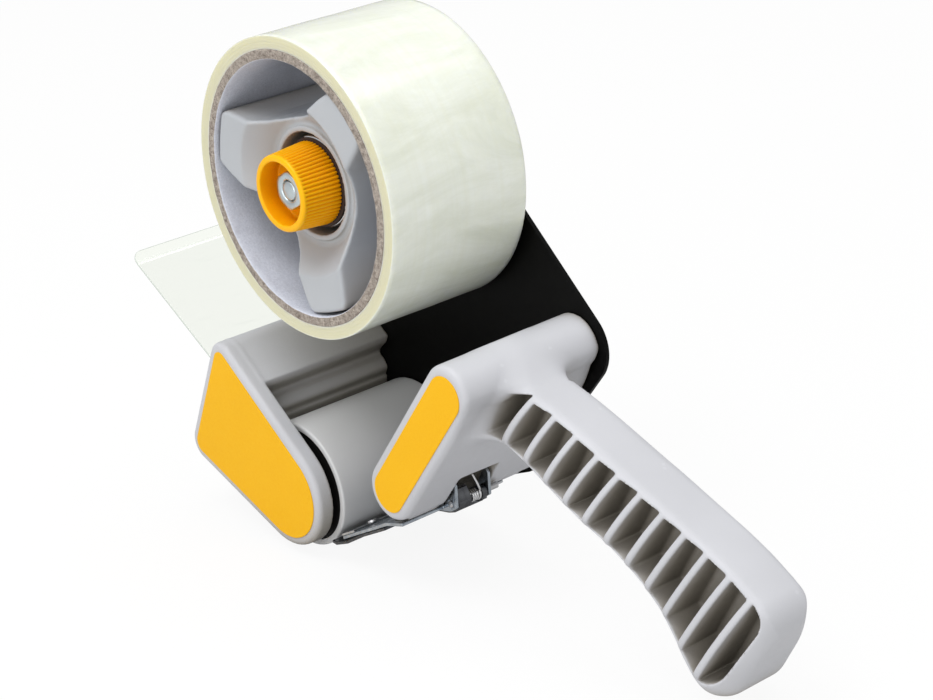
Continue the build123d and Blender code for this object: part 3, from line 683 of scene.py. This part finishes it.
GREY = (0.555, 0.56, 0.59)
MOULDED = {
    # painted_shade: the colour corners and recesses are darkened towards, as painted shade
    "moulding_grey": dict(color=GREY, specular=0.35, painted_shade=(0.36, 0.325, 0.27)),
    "nose_grey_painted_shade": dict(color=GREY, specular=0.35, painted_shade=(0.33, 0.305, 0.26), reach=0.04),
    "hub_grey": dict(color=(0.46, 0.48, 0.505), rough=0.34, grain=0.7, edge=0.10,
                     painted_shade=(0.36, 0.33, 0.29)),
    "roller_grey": dict(color=(0.61, 0.61, 0.615), grain=1.2),
    "plate_black": dict(color=(0.0028, 0.0028, 0.0026), grain=0.6, specular=0.06,
                        edge=0.008),
    "bush_black": dict(color=(0.008, 0.007, 0.007), rough=0.45, specular=0.25, edge=0.02),
    "washer_brown": dict(color=(0.045, 0.028, 0.022), rough=0.6, grain=1.4, specular=0.2,
                         edge=0.02),
    "knob_yellow": dict(color=(1.0, 0.50, 0.001), rough=0.34, grain=0.5, specular=0.22,
                        edge=0.05, subsurface=0.08, painted_shade=(0.96, 0.37, 0.0008)),
}
METAL = {
    "shaft_steel": dict(color=(0.62, 0.62, 0.63), rough=0.26, stretch=(300, 20, 300)),
    "screw_steel": dict(color=(0.66, 0.67, 0.69), rough=0.28, stretch=(120, 120, 120),
                        spangle=0.2),
    "nut_zinc": dict(color=(0.72, 0.81, 0.84), stretch=(140, 140, 140), spangle=0.35,
                     tint=(0.45, 0.52, 0.56)),
    "zinc_sheet": dict(color=(0.56, 0.61, 0.66), rough=0.25, stretch=(60, 700, 60),
                       spangle=0.45, scratch=0.3, tint=(0.20, 0.23, 0.28)),
    "blade_steel": dict(color=(0.60, 0.62, 0.64), rough=0.22, stretch=(700, 30, 700),
                        scratch=0.35),
    "rivet_steel": dict(color=(0.70, 0.70, 0.71), rough=0.25, stretch=(200, 200, 200)),
    "guard_steel": dict(color=(0.16, 0.165, 0.175), rough=0.24, stretch=(60, 500, 60),
                        spangle=0.45, scratch=0.3, tint=(0.02, 0.02, 0.026)),
    "spring_steel": dict(color=(0.74, 0.74, 0.75), rough=0.16, stretch=(500, 60, 500),
                         scratch=0.12),
}
MATERIALS = {name: moulded(name, **look) for name, look in MOULDED.items()}
MATERIALS.update({name: metal(name, **look) for name, look in METAL.items()})
for name, make in (("felt_dark", felt), ("label_yellow", label_film),
                   ("core_board", cardboard), ("tape_clear", wound_tape),
                   ("clear_film", clear_sheet)):
    MATERIALS[name] = make(name)


def paint(ob, slot):
    ob.data.materials.clear()
    ob.data.materials.append(MATERIALS[slot])


def dress(ob, slot, node):
    """Give a piece its finish and hide the CAD node it stands for."""
    paint(ob, slot)
    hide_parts(node)


def place(ob, body, slot, node):
    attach(ob, body)
    dress(ob, slot, node)


# ---------------------------------------------------------------------- handle
HANDLE_WIDTH = (PLATE_Y, BAR_END_Y)
WEB_HALF = 1.2                          # middle web between the pockets
# along the grip, down from the last rib's band edge
END_POCKET = [(180.6, 0.8), (183.0, 1.8), (184.7, 4.4), (185.3, 8.0),
              (185.1, 21.1), (184.1, 26.0), (182.0, 28.6)]
ROOT_POCKET = [(63.9, -61.4), (67.4, -52.6), (70.4, -49.6)]
NOTCH = [(46.4, -85.4), (40.6, -81.1), (31.0, -94.2), (36, -104), (52, -100)]
LAND_NORMAL = np.array((0.2974, -0.9547))
LAND_DIRECTION = np.array((0.9547, 0.2974))
LANDS = ((-5.0, -16.0), (-37.0, -48.0))     # y range of each land
LAND_RISE, SEAT_GAP = 0.25, 0.5             # land above the bar, screw seat above the land


def grip_point(along, down):
    """A point of the grip's own frame in X and Z."""
    return (along * GRIP_ALONG[0] + down * GRIP_DOWN[0],
            along * GRIP_ALONG[1] + down * GRIP_DOWN[1])


def eased_grip(along):
    """The grip table's later columns, eased along the grip and read at `along`."""
    table = np.array(GRIP)
    stations = np.linspace(table[0, 0], table[-1, 0], 300)
    reach = 13
    window = np.hanning(2 * reach + 1)
    window /= window.sum()
    for column in table[:, 1:].T:
        values = np.interp(stations, table[:, 0], column)
        padded = np.r_[2 * values[0] - values[reach:0:-1], values,
                       2 * values[-1] - values[-2:-reach - 2:-1]]
        eased = np.convolve(padded, window, "valid")
        yield np.interp(along, stations, eased)[:, None, :]


def cross_bar(grid):
    """Stadium section, slight draft towards the free end, soft free edge."""
    section = segment_distance(grid.flat_x, grid.flat_z, BAR_TOP, BAR_FOOT)[:, None, :]
    drafted = section - BAR_RADIUS - 0.01135 * (grid.y - PLATE_Y)
    width = grid.slab(*HANDLE_WIDTH)
    soft = intersect(drafted, width, 1.9)
    return np.maximum(np.maximum(drafted, width), np.where(grid.y < -25, soft, -1e9))


def grip_solid(along, below, off_middle, half_width, slope, depth):
    """Flat top band, sloping shoulders, upright sides, soft underside."""
    crown = 0.3 * np.clip(1 - (off_middle / 9.0) ** 2, -1, 1)
    top = -0.55 - crown - below
    shoulder = (off_middle - BAND_HALF_WIDTH - slope * (below - 0.35)) / np.sqrt(
        1 + slope * slope)
    grip = intersect(top, shoulder, 1.4)
    grip = intersect(grip, off_middle - half_width, 7.0)
    grip = intersect(grip, below - depth, 5.5 + 2.5 * np.clip((along - 172) / 14, 0, 1))
    grip = intersect(grip, along - 188.7, 8.0)
    return np.maximum(grip, GRIP[0][0] - along)


def pocket(shape, web, corner, floor_radius):
    """Recess down to the web, with rounded corners and a rounded floor."""
    return intersect(shape + corner, web, floor_radius) - corner


def cut_pockets(grid, body, along, below, side):
    """Pockets on both sides of the middle web."""
    web = WEB_HALF - np.abs(side)
    for i in range(len(RIBS) - 1):
        start, end = RIBS[i][0] + RIB_HALF, RIBS[i + 1][0] - RIB_HALF
        edge_0, edge_1 = RIBS[i][1], RIBS[i + 1][1]
        shape = grid.outline([
            grip_point(start, edge_0 + 0.85), grip_point(end, edge_1 + 0.85),
            grip_point(end, edge_1 + POCKET_DEPTHS[i + 1]),
            grip_point(start, edge_0 + POCKET_DEPTHS[i])])
        # pockets on the plate side start a little lower
        shape = np.where(side > 0, np.maximum(shape, (1.5 - below)), shape)
        body = intersect(body, -pocket(shape, web, corner=0.7, floor_radius=0.6), 0.6)

    start, edge = RIBS[-1][0] + RIB_HALF, RIBS[-1][1]
    shape = grid.outline([grip_point(start, edge + 0.7)]
                         + [grip_point(a, edge + b) for a, b in catmull(END_POCKET, 4)]
                         + [grip_point(start, edge + 29.8)])
    body = intersect(body, -pocket(shape, web, corner=0.9, floor_radius=0.6), 0.45)

    # the root pocket runs out softly towards the cross bar
    end, edge = RIBS[0][0] - RIB_HALF, RIBS[0][1]
    shape = grid.outline([grip_point(end, edge + 0.2),
                          grip_point(end, edge + POCKET_DEPTHS[0])] + ROOT_POCKET)
    recess = pocket(shape, web, corner=1.5, floor_radius=0.8)
    crisp = np.clip((along - end + 6.5) / 6.0, 0, 1)
    sharp_edge = intersect(body, -recess, 0.5)
    soft_edge = intersect(body, -recess, 3.2)
    return np.where(crisp > 0.99, sharp_edge, soft_edge * (1 - crisp) + sharp_edge * crisp)


def add_lands(grid, body):
    """Two lands at the bar's foot that the blade bracket is screwed to, and their holes."""
    foot = np.array(BAR_FOOT)
    seat = foot + LAND_NORMAL * (BAR_RADIUS + LAND_RISE + SEAT_GAP)
    top = seat - LAND_NORMAL * SEAT_GAP
    land = grid.outline([tuple(top + LAND_DIRECTION * 1.0), tuple(top - LAND_DIRECTION * 7.0),
                         (foot[0] - 5.2, foot[1] - 3.4), BAR_FOOT])
    for y0, y1 in LANDS:
        body = union(body, np.maximum(land, grid.slab(y0, y1)), 0.6)
    hole = seat - LAND_DIRECTION * 4.5
    offset = np.stack(np.broadcast_arrays(grid.flat_x - hole[0], grid.flat_z - hole[1]), -1)
    depth = (offset @ LAND_NORMAL)[:, None, :]
    sideways = (offset @ LAND_DIRECTION)[:, None, :]
    for y0, y1 in LANDS:
        radius = np.hypot(sideways, grid.y - (y0 + y1) / 2)
        body = np.maximum(body, -np.maximum(radius - 1.5, np.abs(depth + 4.6) - 4.1))
    return body


def handle():
    grid = Grid((18, -54.5, -120), (172, 0.5, -32), 0.44)
    flat_along = grid.flat_x * GRIP_ALONG[0] + grid.flat_z * GRIP_ALONG[1]
    flat_down = grid.flat_x * GRIP_DOWN[0] + grid.flat_z * GRIP_DOWN[1]
    band_edge, half_width, slope, depth = eased_grip(flat_along)
    along = flat_along[:, None, :]
    below = flat_down[:, None, :] - band_edge
    side = grid.y - GRIP_Y
    grip = grip_solid(along, below, np.abs(side), half_width, slope, depth)
    body = union(cross_bar(grid), grip, 9.0)
    body = np.maximum(body, grid.slab(*HANDLE_WIDTH))
    body = cut_pockets(grid, body, along, below, side)
    notch = intersect(grid.outline(NOTCH), grid.slab(-20.4, -36.0), 0.8)
    body = add_lands(grid, intersect(body, -notch, 0.5))
    ob = grid.mesh("vis_handle", body)
    ease = ob.modifiers.new("ease", "SMOOTH")
    ease.factor = 0.5
    ease.iterations = 3
    return ob


place(handle(), "frame", "moulding_grey", "handle")

# ---------------------------------------------------------------- nose housing
CHEEK_Y = -50.5                         # start of the cheek at the free end
# wavy edge of the housing between roller and hub, closed on the +X side
WAVE = catmull([(-26.0, -62.0), (-28.2, -67.2), (-29.6, -71.6), (-33.6, -76.0),
                (-31.6, -78.4), (-30.4, -80.8), (-31.3, -83.3), (-30.9, -84.3),
                (-31.3, -86.6)], 8) + [(-5, -88), (-5, -58)]


def hinge_groove(grid):
    """Round groove at the flap's hinge with a flared mouth along the flap."""
    half_gap, length = 0.36, 9
    angle = math.radians(FLAP_ANGLE)
    mouth = []
    for side, flare in ((1, -24), (-1, 19)):
        x = FLAP_HINGE[0] + side * half_gap * math.sin(angle)
        z = FLAP_HINGE[1] - side * half_gap * math.cos(angle)
        way = math.radians(FLAP_ANGLE + flare)
        corners = [(x, z), (x + length * math.cos(way), z + length * math.sin(way))]
        mouth += corners[::side]
    section = np.minimum(grid.disc(FLAP_HINGE, 1.15), grid.outline(mouth))
    return np.maximum(section, grid.slab(-0.6, CHEEK_Y))


def nose():
    grid = Grid((-67, -57.5, -121), (4, -0.5, -57), 0.5)
    hull = grid.outline(hull_outline(NOSE))
    bore = grid.disc(ROLLER, ROLLER_BORE)
    body = np.maximum(np.maximum(hull, -bore), -grid.outline(WAVE))
    # no crescent of housing beyond the roller
    body = np.where((grid.z < -88) & (grid.x > -30), 9.0, body)
    body = np.maximum(body, grid.slab(PLATE_Y, -51.5))
    width = grid.slab(CHEEK_Y, NOSE_END_Y)
    cheek = np.where(grid.y > -53, np.maximum(hull, width), intersect(hull, width, 1.7))
    solid = union(body, cheek, 0.4)
    solid = np.maximum(solid, -np.maximum(bore, grid.slab(-1.0, CHEEK_Y)))
    solid = np.maximum(solid, -hinge_groove(grid))
    return grid.mesh("vis_nose_housing", solid)


nose_housing = nose()
place(nose_housing, "frame", "moulding_grey", "nose_housing")
nose_housing.data.materials[0] = MATERIALS["nose_grey_painted_shade"]     # same slot; its painted shade reaches 4 cm, darkening the nose top under the roll

# --------------------------------------------------------------- hub wheel
BOSS_RADIUS, POCKET_RADIUS, WING_REACH = 18.4, 15.2, 38.0
WING_WALL = 2.2
WING_ANGLES = (47.5, 167.5, 287.5)
# one wing, before it is turned to its angle
WING = [(2.0, 20.4), (11.0, 15.4), (20.0, 11.9), (31.0, 9.6), (37.6, 7.6), (38.0, -9.0),
        (33.0, -10.2), (24.0, -11.0), (12.0, -14.6), (0, -17.9)]
# the -Y face: y against radius, low on the boss and standing out on the wings
FACE_RADII = [0, 18.2, 19.2, 25.2, 26.4, 60]
FACE_Y = [-46.0, -46.0, -46.5, -52.0, -53.0, -53.0]


def hub():
    grid = Grid((-40, -54.5, -40), (40, -1.5, 40), 0.5)
    y = grid.y
    flat_radius = np.hypot(grid.flat_x, grid.flat_z)
    section = flat_radius - BOSS_RADIUS
    hollow = np.full(section.shape, 1e9)
    for angle in WING_ANGLES:
        cos, sin = math.cos(math.radians(angle)), math.sin(math.radians(angle))
        wing = polygon_distance(grid.flat_x, grid.flat_z,
                                [(cos * x - sin * z, sin * x + cos * z) for x, z in WING])
        wing = intersect(wing + WING_WALL, flat_radius - WING_REACH + WING_WALL,
                         0.01) - WING_WALL
        section = union(section, wing, 3.0)
        hollow = np.minimum(hollow, wing + WING_WALL)
    section, hollow = section[:, None, :], hollow[:, None, :]
    radius = flat_radius[:, None, :]
    face = np.interp(radius, FACE_RADII, FACE_Y)
    body = intersect(section, np.maximum((face - y) * 0.80, y + 3.2), 1.1)
    body = np.where(y > -20, np.maximum(section, y + 3.2), body)
    lip = np.maximum(np.abs(radius - 16.2) - 0.9, np.abs(y + 46.4) - 0.7)
    body = union(body, lip, 0.5)
    spring_pocket = np.maximum(radius - POCKET_RADIUS, y + 30.0)
    body = intersect(body, -spring_pocket, 0.5)
    # hollows open to the plate side: inside the wings, and round the bore
    wing_hollow = np.maximum(np.maximum(hollow, BOSS_RADIUS - radius), -42.0 - y)
    body = np.maximum(body, -wing_hollow)
    bore_hollow = np.maximum(np.maximum(radius - POCKET_RADIUS, 7.5 - radius), -27.0 - y)
    body = np.maximum(body, -bore_hollow)
    body = np.maximum(body, 3.05 - radius)
    return grid.mesh("vis_hub_wheel", body)


place(hub(), "hub", "hub_grey", "hub_wheel")

# -------------------------------------------------------------- tape and core
phases = np.random.default_rng(7).uniform(0, 6.28, 8)


def tape_warp(r, y, t):
    """Uneven winding, growing from the core outwards."""
    growth = max(0.0, (r - TAPE_INNER) / 4.0)
    sway = (0.05 * math.sin(3 * t + phases[0]) + 0.03 * math.sin(7 * t + phases[1])
            + 0.02 * math.sin(13 * t + phases[2]))
    swell = 0.04 * math.sin(5 * t + phases[3]) * growth * math.sin((y + 4) * 0.25)
    return r + swell, y + (sway * growth if abs(y - ROLL_MIDDLE_Y) > 20 else 0)


def tape():
    ends = [(r, 0.05 * (i % 2) + 0.05 * math.sin(i * 1.7))
            for i, r in enumerate(np.linspace(TAPE_INNER, TAPE_OUTER, 17))][1:-1]
    profile = [(TAPE_INNER, -53.8)]
    profile += [(r, TAPE_END_Y + step) for r, step in ends]
    profile += [(44.85, TAPE_END_Y), (TAPE_OUTER, -53.7), (TAPE_OUTER, -4.5),
                (44.85, TAPE_PLATE_Y)]
    profile += [(r, TAPE_PLATE_Y - step) for r, step in ends[::-1]]
    profile += [(TAPE_INNER, -4.4)]
    return lathe("vis_tape_winding", profile, steps=256, warp=tape_warp)


def core_warp(r, y, t):
    """Slightly ragged cut ends."""
    rag = 0.05 * math.sin(23 * t + r) + 0.04 * math.sin(57 * t + 2 * r)
    return r, y + (rag if abs(y - ROLL_MIDDLE_Y) > 24 else 0)


def core():
    profile = rounded([(38.1, -54.0, 0.35), (40.98, -54.0, 0.3),
                       (40.98, -4.2, 0.3), (38.1, -4.2, 0.35)], steps=3)
    return lathe("vis_tape_core", profile, steps=224, warp=core_warp)


place(tape(), "tape_roll", "tape_clear", "tape_winding")
place(core(), "tape_roll", "core_board", "tape_core")


# ---------------------------------------------------------------------- roller
def roller():
    inner, outer = 17.98, 19.95
    profile = rounded([(inner, -47.5, 0), (inner, -48.5, 0.3), (outer, -48.5, 0.7),
                       (outer, -2.1, 0.7), (inner, -2.1, 0.3), (inner, -3.1, 0)])
    return lathe("vis_tape_roller", profile, steps=160, centre=ROLLER)


place(roller(), "roller", "roller_grey", "tape_roller")

# ------------------------------------------------------------ knob, nut, stud
FLUTES = 60
THREAD_Y = -44.1                        # the stud is threaded beyond here
THREAD_PITCH = 1.0


def knob_warp(r, y, t):
    """Flutes round the side, fading in from the free face, and a slight taper."""
    fluted = r
    if r > 11.6 and y > -57.7:
        fade = min(1.0, (y + 57.7) / 0.6)
        fluted = r - 0.72 * fade * (1 - abs(math.sin(FLUTES * t / 2)) ** 0.9)
    if fluted > 9.0:
        fluted -= 1.05 * min(1.0, max(0.0, (-46.0 - y) / 12.7))
    return fluted, y


def knob():
    profile = rounded([(10.5, -58.75, 0.5), (12.45, -58.75, 0.8), (12.5, -57.0, 0.25),
                       (12.5, -45.65, 0.4), (3.1, -45.65, 0), (3.1, -51.5, 0.0),
                       (10.35, -51.5, 0.7)])
    return lathe("vis_tension_knob", profile, steps=FLUTES * 8, warp=knob_warp, spacing=0.9)


def hexagon_nut():
    """Hexagon nut, corners faintly chamfered, shallow countersink round the stud."""
    steps, half_flats = 144, 5.3

    def hexagon(t):
        return half_flats / math.cos((t + math.pi / 6) % (math.pi / 3) - math.pi / 6)
    rings = []
    for y, limit in ((-48.6, 5.75), (-55.0, 5.9), (-55.4, 5.66), (-55.6, half_flats)):
        radii = [min(hexagon(2 * math.pi * i / steps), limit) for i in range(steps)]
        rings.append(turned_ring(radii, y))
    for r, y in ((4.6, -55.62), (3.75, -55.6), (3.2, -55.3), (3.06, -55.0), (3.06, -48.6)):
        rings.append(turned_ring([r] * steps, y))
    return ring_mesh("vis_knob_nut", rings, wrap=True)


def stud():
    """Hub stud: rolled thread on its free end, domed tip."""
    steps = 48

    def radius(y, turn):
        if y >= THREAD_Y:
            return 3.0
        phase = (y + turn) % THREAD_PITCH
        return 2.98 - 0.42 * (1 - abs(2 * phase - 1)) ** 1.2
    rows = list(np.linspace(PLATE_Y, -44.0, 30)) + list(np.arange(-44.2, -55.2, -0.125))
    rings = [turned_ring([radius(y, i / steps) for i in range(steps)], y) for y in rows]
    for y, r in ((-55.3, 2.85), (-55.45, 2.6), (-55.55, 2.1), (-55.6, 1.4), (-55.62, 0.6)):
        rings.append(turned_ring([r] * steps, y))
    return ring_mesh("vis_hub_shaft", rings)


place(knob(), "knob", "knob_yellow", "tension_knob")
place(hexagon_nut(), "knob", "nut_zinc", "knob_nut")
place(stud(), "frame", "nut_zinc", "hub_shaft")


# --------------------------------------------------------------------- springs
def hub_spring():
    """Compression spring round the hub axis with closed end turns."""
    radius, wire = 13.2, 0.85
    start, end = -32.08, -44.6
    open_turns, closed_turns = 3.4, 0.9
    turns = open_turns + 2 * closed_turns
    closed_pitch = -wire * 2.02
    closed_length = closed_pitch * closed_turns
    points = []
    count = int(turns * 48)
    for i in range(count + 1):
        t = i / count * turns
        if t < closed_turns:
            y = start + closed_pitch * t
        elif t > open_turns + closed_turns:
            y = end - closed_pitch * (turns - t)
        else:
            part = (t - closed_turns) / open_turns
            y = start + closed_length + (end - start - 2 * closed_length) * part
        angle = 2 * math.pi * t + 0.6
        points.append((radius * math.cos(angle), y, radius * math.sin(angle)))
    return tube("vis_hub_spring", points, wire, sides=14)


def guard_spring():
    """Torsion spring: a short leg leading into four coils round the guard pin."""
    points = [(39.4, -27.0, -87.4), (40.15, -26.2, -89.9), (40.75, -25.5, -92.4)]
    turns, steps = 4, 20
    count = turns * steps
    for i in range(count + 1):
        angle = 0.9 - 2 * math.pi * i / steps
        radius = 2.0 - 0.4 * min(1, i / 10)
        points.append((GUARD_PIN[0] + radius * math.cos(angle), -25.2 - 3.3 * i / count,
                       GUARD_PIN[1] + radius * math.sin(angle)))
    return tube("vis_guard_spring", points, 0.36, sides=10)


spring = hub_spring()
dress(spring, "spring_steel", "hub_spring")
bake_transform(spring)

spring = guard_spring()
dress(spring, "spring_steel", "guard_spring")
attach(spring, "frame")

# ------------------------------------------------------------------ wiper flap
FLAP_LENGTH, FLAP_HALF_THICKNESS, FLAP_CORNER = 54.3, 0.3, 3.0
CREASE = (49.4, 52.6)                   # the sheet bends into its lip between these
FLAP_STATIONS = ([0, 0.8, 1.6, 3, 6] + list(np.linspace(9, 48, 14))
                 + list(np.linspace(49, 50.6, 5)) + [50.75, 50.95, 51.1]
                 + list(np.linspace(51.4, 53.7, 7)) + [53.95, 54.1, FLAP_LENGTH])
FLAP_ROWS = np.r_[-50.2, -49.95, -49.6, np.linspace(-49.0, -3.6, 22), -3.0, -2.65, -2.4]


def flap_centre(along):
    """Point and normal at a length along the sheet, summed in short steps."""
    flat, lip = math.radians(FLAP_ANGLE), math.radians(FLAP_LIP_ANGLE)
    x, z = FLAP_HINGE
    steps = 60
    step = along / steps
    for i in range(steps):
        bend = ((i + 0.5) * step - CREASE[0]) / (CREASE[1] - CREASE[0])
        angle = flat + (lip - flat) * min(1, max(0, bend))
        x += math.cos(angle) * step
        z += math.sin(angle) * step
    return x, z, -math.sin(angle), math.cos(angle)


def flap():
    """Thin sheet with rounded free corners; "cut" marks its edges and a line in the crease."""
    first, last = FLAP_ROWS[0], FLAP_ROWS[-1]
    middle, half = (first + last) / 2, (last - first) / 2
    verts, cut = [], []
    for side in (FLAP_HALF_THICKNESS, -FLAP_HALF_THICKNESS):
        for along in FLAP_STATIONS:
            x, z, normal_x, normal_z = flap_centre(along)
            over = max(0, along - (FLAP_LENGTH - FLAP_CORNER))
            inset = FLAP_CORNER - math.sqrt(max(0, FLAP_CORNER * FLAP_CORNER - over * over))
            for row in FLAP_ROWS:
                y = middle + (row - middle) * (half - inset) / half
                verts.append((x + side * normal_x, y, z + side * normal_z))
                if along > 54.2 or row in (first, last):
                    cut.append(0.9)
                else:
                    cut.append(0.5 if 50.8 < along < 51.0 else 0.0)
    stations, rows = len(FLAP_STATIONS), len(FLAP_ROWS)

    def vert(face, i, j):
        return (face * stations + i) * rows + j
    faces = [(vert(k, i, j), vert(k, i + 1, j), vert(k, i + 1, j + 1), vert(k, i, j + 1))
             for k in (0, 1) for i in range(stations - 1) for j in range(rows - 1)]
    faces += [(vert(0, i, j), vert(0, i + 1, j), vert(1, i + 1, j), vert(1, i, j))
              for i in range(stations - 1) for j in (0, rows - 1)]
    faces += [(vert(0, i, j), vert(0, i, j + 1), vert(1, i, j + 1), vert(1, i, j))
              for j in range(rows - 1) for i in (0, stations - 1)]
    ob = mesh_object("vis_wiper_flap", verts, faces)
    attribute = ob.data.attributes.new("cut", "FLOAT", "POINT")
    attribute.data.foreach_set("value", np.array(cut, np.float32))
    return ob


def blend_flap(ob):
    """Bake the sheet's placement into its mesh."""
    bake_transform(ob)


wiper = flap()
dress(wiper, "clear_film", "wiper_flap")
blend_flap(wiper)


# ---------------------------------------------------------------------- labels
def label(name, circles, y):
    """Thin plate on the face at y, its free edge slightly chamfered."""
    points = np.array(hull_outline(circles, 72))
    tangents = np.roll(points, -1, 0) - np.roll(points, 1, 0)
    tangents /= np.linalg.norm(tangents, axis=1)[:, None]
    outward = np.stack([tangents[:, 1], -tangents[:, 0]], 1)
    rings = [[(p[0] - n[0] * inset, y - rise, p[1] - n[1] * inset)
              for p, n in zip(points, outward)]
             for inset, rise in ((0.0, 0.0), (0.0, 0.2), (0.12, 0.29))]
    return ring_mesh(name, rings, smooth=False)


LABELS = (("nose_label", [(x, z, r - 2.8) for x, z, r in NOSE], NOSE_END_Y),
          ("handle_label", [(*BAR_TOP, 6.3), (*BAR_FOOT, 6.3)], BAR_END_Y))
for node, circles, y in LABELS:
    place(label("vis_" + node, circles, y), "frame", "label_yellow", node)

# ------------------------------------------------------- carried-over CAD nodes
# node, finish, edge rounding, its segments, least edge angle in degrees
CAD_NODES = [
    ("side_plate", "plate_black", 0.35, 3, 35),
    ("plate_screws", "screw_steel", 0.15, 2, 35),
    ("roller_bushes", "bush_black", 0.3, 2, 35),
    ("roller_axle", "shaft_steel", 0.4, 2, 35),
    ("blade_holder", "zinc_sheet", 0.25, 2, 30),
    ("cutting_blade", "blade_steel", 0.06, 1, 30),
    ("blade_rivets", "rivet_steel", 0.3, 3, 35),
    ("holder_screws", "screw_steel", 0.3, 3, 35),
    ("blade_guard", "guard_steel", 0.2, 2, 30),
    ("guard_pin", "shaft_steel", 0.2, 2, 35),
    ("friction_disc", "felt_dark", 0.3, 2, 35),
    ("tension_washer", "washer_brown", 0.2, 2, 35),
    ("spring_seat", "screw_steel", 0.2, 2, 35),
]


def carry_over(node, slot, rounding, segments, angle):
    """A CAD node kept as it is, with small rounded edges and its finish."""
    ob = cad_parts[node]
    paint(ob, slot)
    weld = ob.modifiers.new("weld", "WELD")
    weld.merge_threshold = 2e-6
    bevel = ob.modifiers.new("edge", "BEVEL")
    bevel.width = rounding * MM
    bevel.segments = segments
    bevel.limit_method = "ANGLE"
    bevel.angle_limit = math.radians(angle)
    bevel.harden_normals = False
    bevel.miter_outer = "MITER_ARC"
    bevel.use_clamp_overlap = True
    shade_smooth(ob.data)
    normals = ob.modifiers.new("wn", "WEIGHTED_NORMAL")
    normals.keep_sharp = True
    normals.weight = 60


for row in CAD_NODES:
    carry_over(*row)


# ----------------------------------------------------------- stage, lights, camera
def floor_material():
    """White floor, mostly glowing to the camera and matt to everything else."""
    mat = Material("floor_white")
    tone = mat.mix(mat.ramp(mat.noise(scale=3.0), over=(0.3, 0.7)),
                   (0.66, 0.66, 0.655), (0.68, 0.68, 0.675))
    matt = mat.node("BsdfPrincipled", {
        "Base Color": tone, "Roughness": 0.8, "Specular IOR Level": 0.1}).outputs[0]
    glow = mat.node("Emission", {"Color": (1, 1, 1), "Strength": 1.03}).outputs[0]
    seen = mat.node("LightPath").outputs["Is Camera Ray"]
    return mat.finish(mat.mix_shader(mat.times(seen, 0.88), matt, glow))


def floor():
    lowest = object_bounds()[0][2]
    bpy.ops.mesh.primitive_plane_add(size=30, location=(0, 0, lowest - 0.0003))
    ob = bpy.context.object
    ob.name = "floor"
    ob.data.materials.append(floor_material())
    ob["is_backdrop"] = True


def studio():
    """White world, dimmer as a light than it is to the camera."""
    world = bpy.data.worlds.new("studio")
    bpy.context.scene.world = world
    world.use_nodes = True
    tree = world.node_tree
    background = tree.nodes["Background"]
    background.inputs[0].default_value = (1, 1, 1, 1)
    path = tree.nodes.new("ShaderNodeLightPath")
    strength = tree.nodes.new("ShaderNodeMapRange")
    strength.inputs["To Min"].default_value = 0.62
    strength.inputs["To Max"].default_value = 1.0
    tree.links.new(path.outputs["Is Camera Ray"], strength.inputs["Value"])
    tree.links.new(strength.outputs["Result"], background.inputs[1])


def area_light(name, location, target, size, power):
    """Square light; places and size in metres, power in watts."""
    light = bpy.data.lights.new(name, "AREA")
    light.energy = power
    light.color = (1, 1, 1)
    light.shape = "RECTANGLE"
    light.size = light.size_y = size
    ob = new_object(name, light)
    ob.location = location
    aim = Vector(target) - Vector(location)
    ob.rotation_euler = aim.to_track_quat("-Z", "Y").to_euler()


def camera():
    eye = bpy.data.cameras.new("eye")
    eye.lens = 95.663151
    eye.sensor_width = 36.0
    eye.clip_start, eye.clip_end = 0.01, 60
    ob = new_object("eye", eye)
    location = Vector((0.5502061442, -0.4451371793, 0.2286606856))
    right = (0.6528798733, 0.7549316441, -0.0618553456)
    up = (-0.2552497731, 0.2961581488, 0.9204009475)
    back = (0.7131587652, -0.5851226911, 0.3860518255)
    turn = Matrix((right, up, back)).transposed().to_4x4()
    ob.matrix_world = Matrix.Translation(location) @ turn
    bpy.context.scene.camera = ob


floor()
studio()
area_light("key", location=(-0.02, -0.56, 1.08), target=(0.02, -0.03, -0.06),
           size=0.6, power=6.5)
area_light("top", location=(0.30, 0.25, 1.2), target=(0.05, -0.03, -0.06),
           size=0.9, power=5.0)
area_light("front", location=(0.45, -1.05, 0.30), target=(0.0, -0.03, -0.05),
           size=0.8, power=3.5)
camera()
bpy.context.scene.view_settings.view_transform = "Standard"
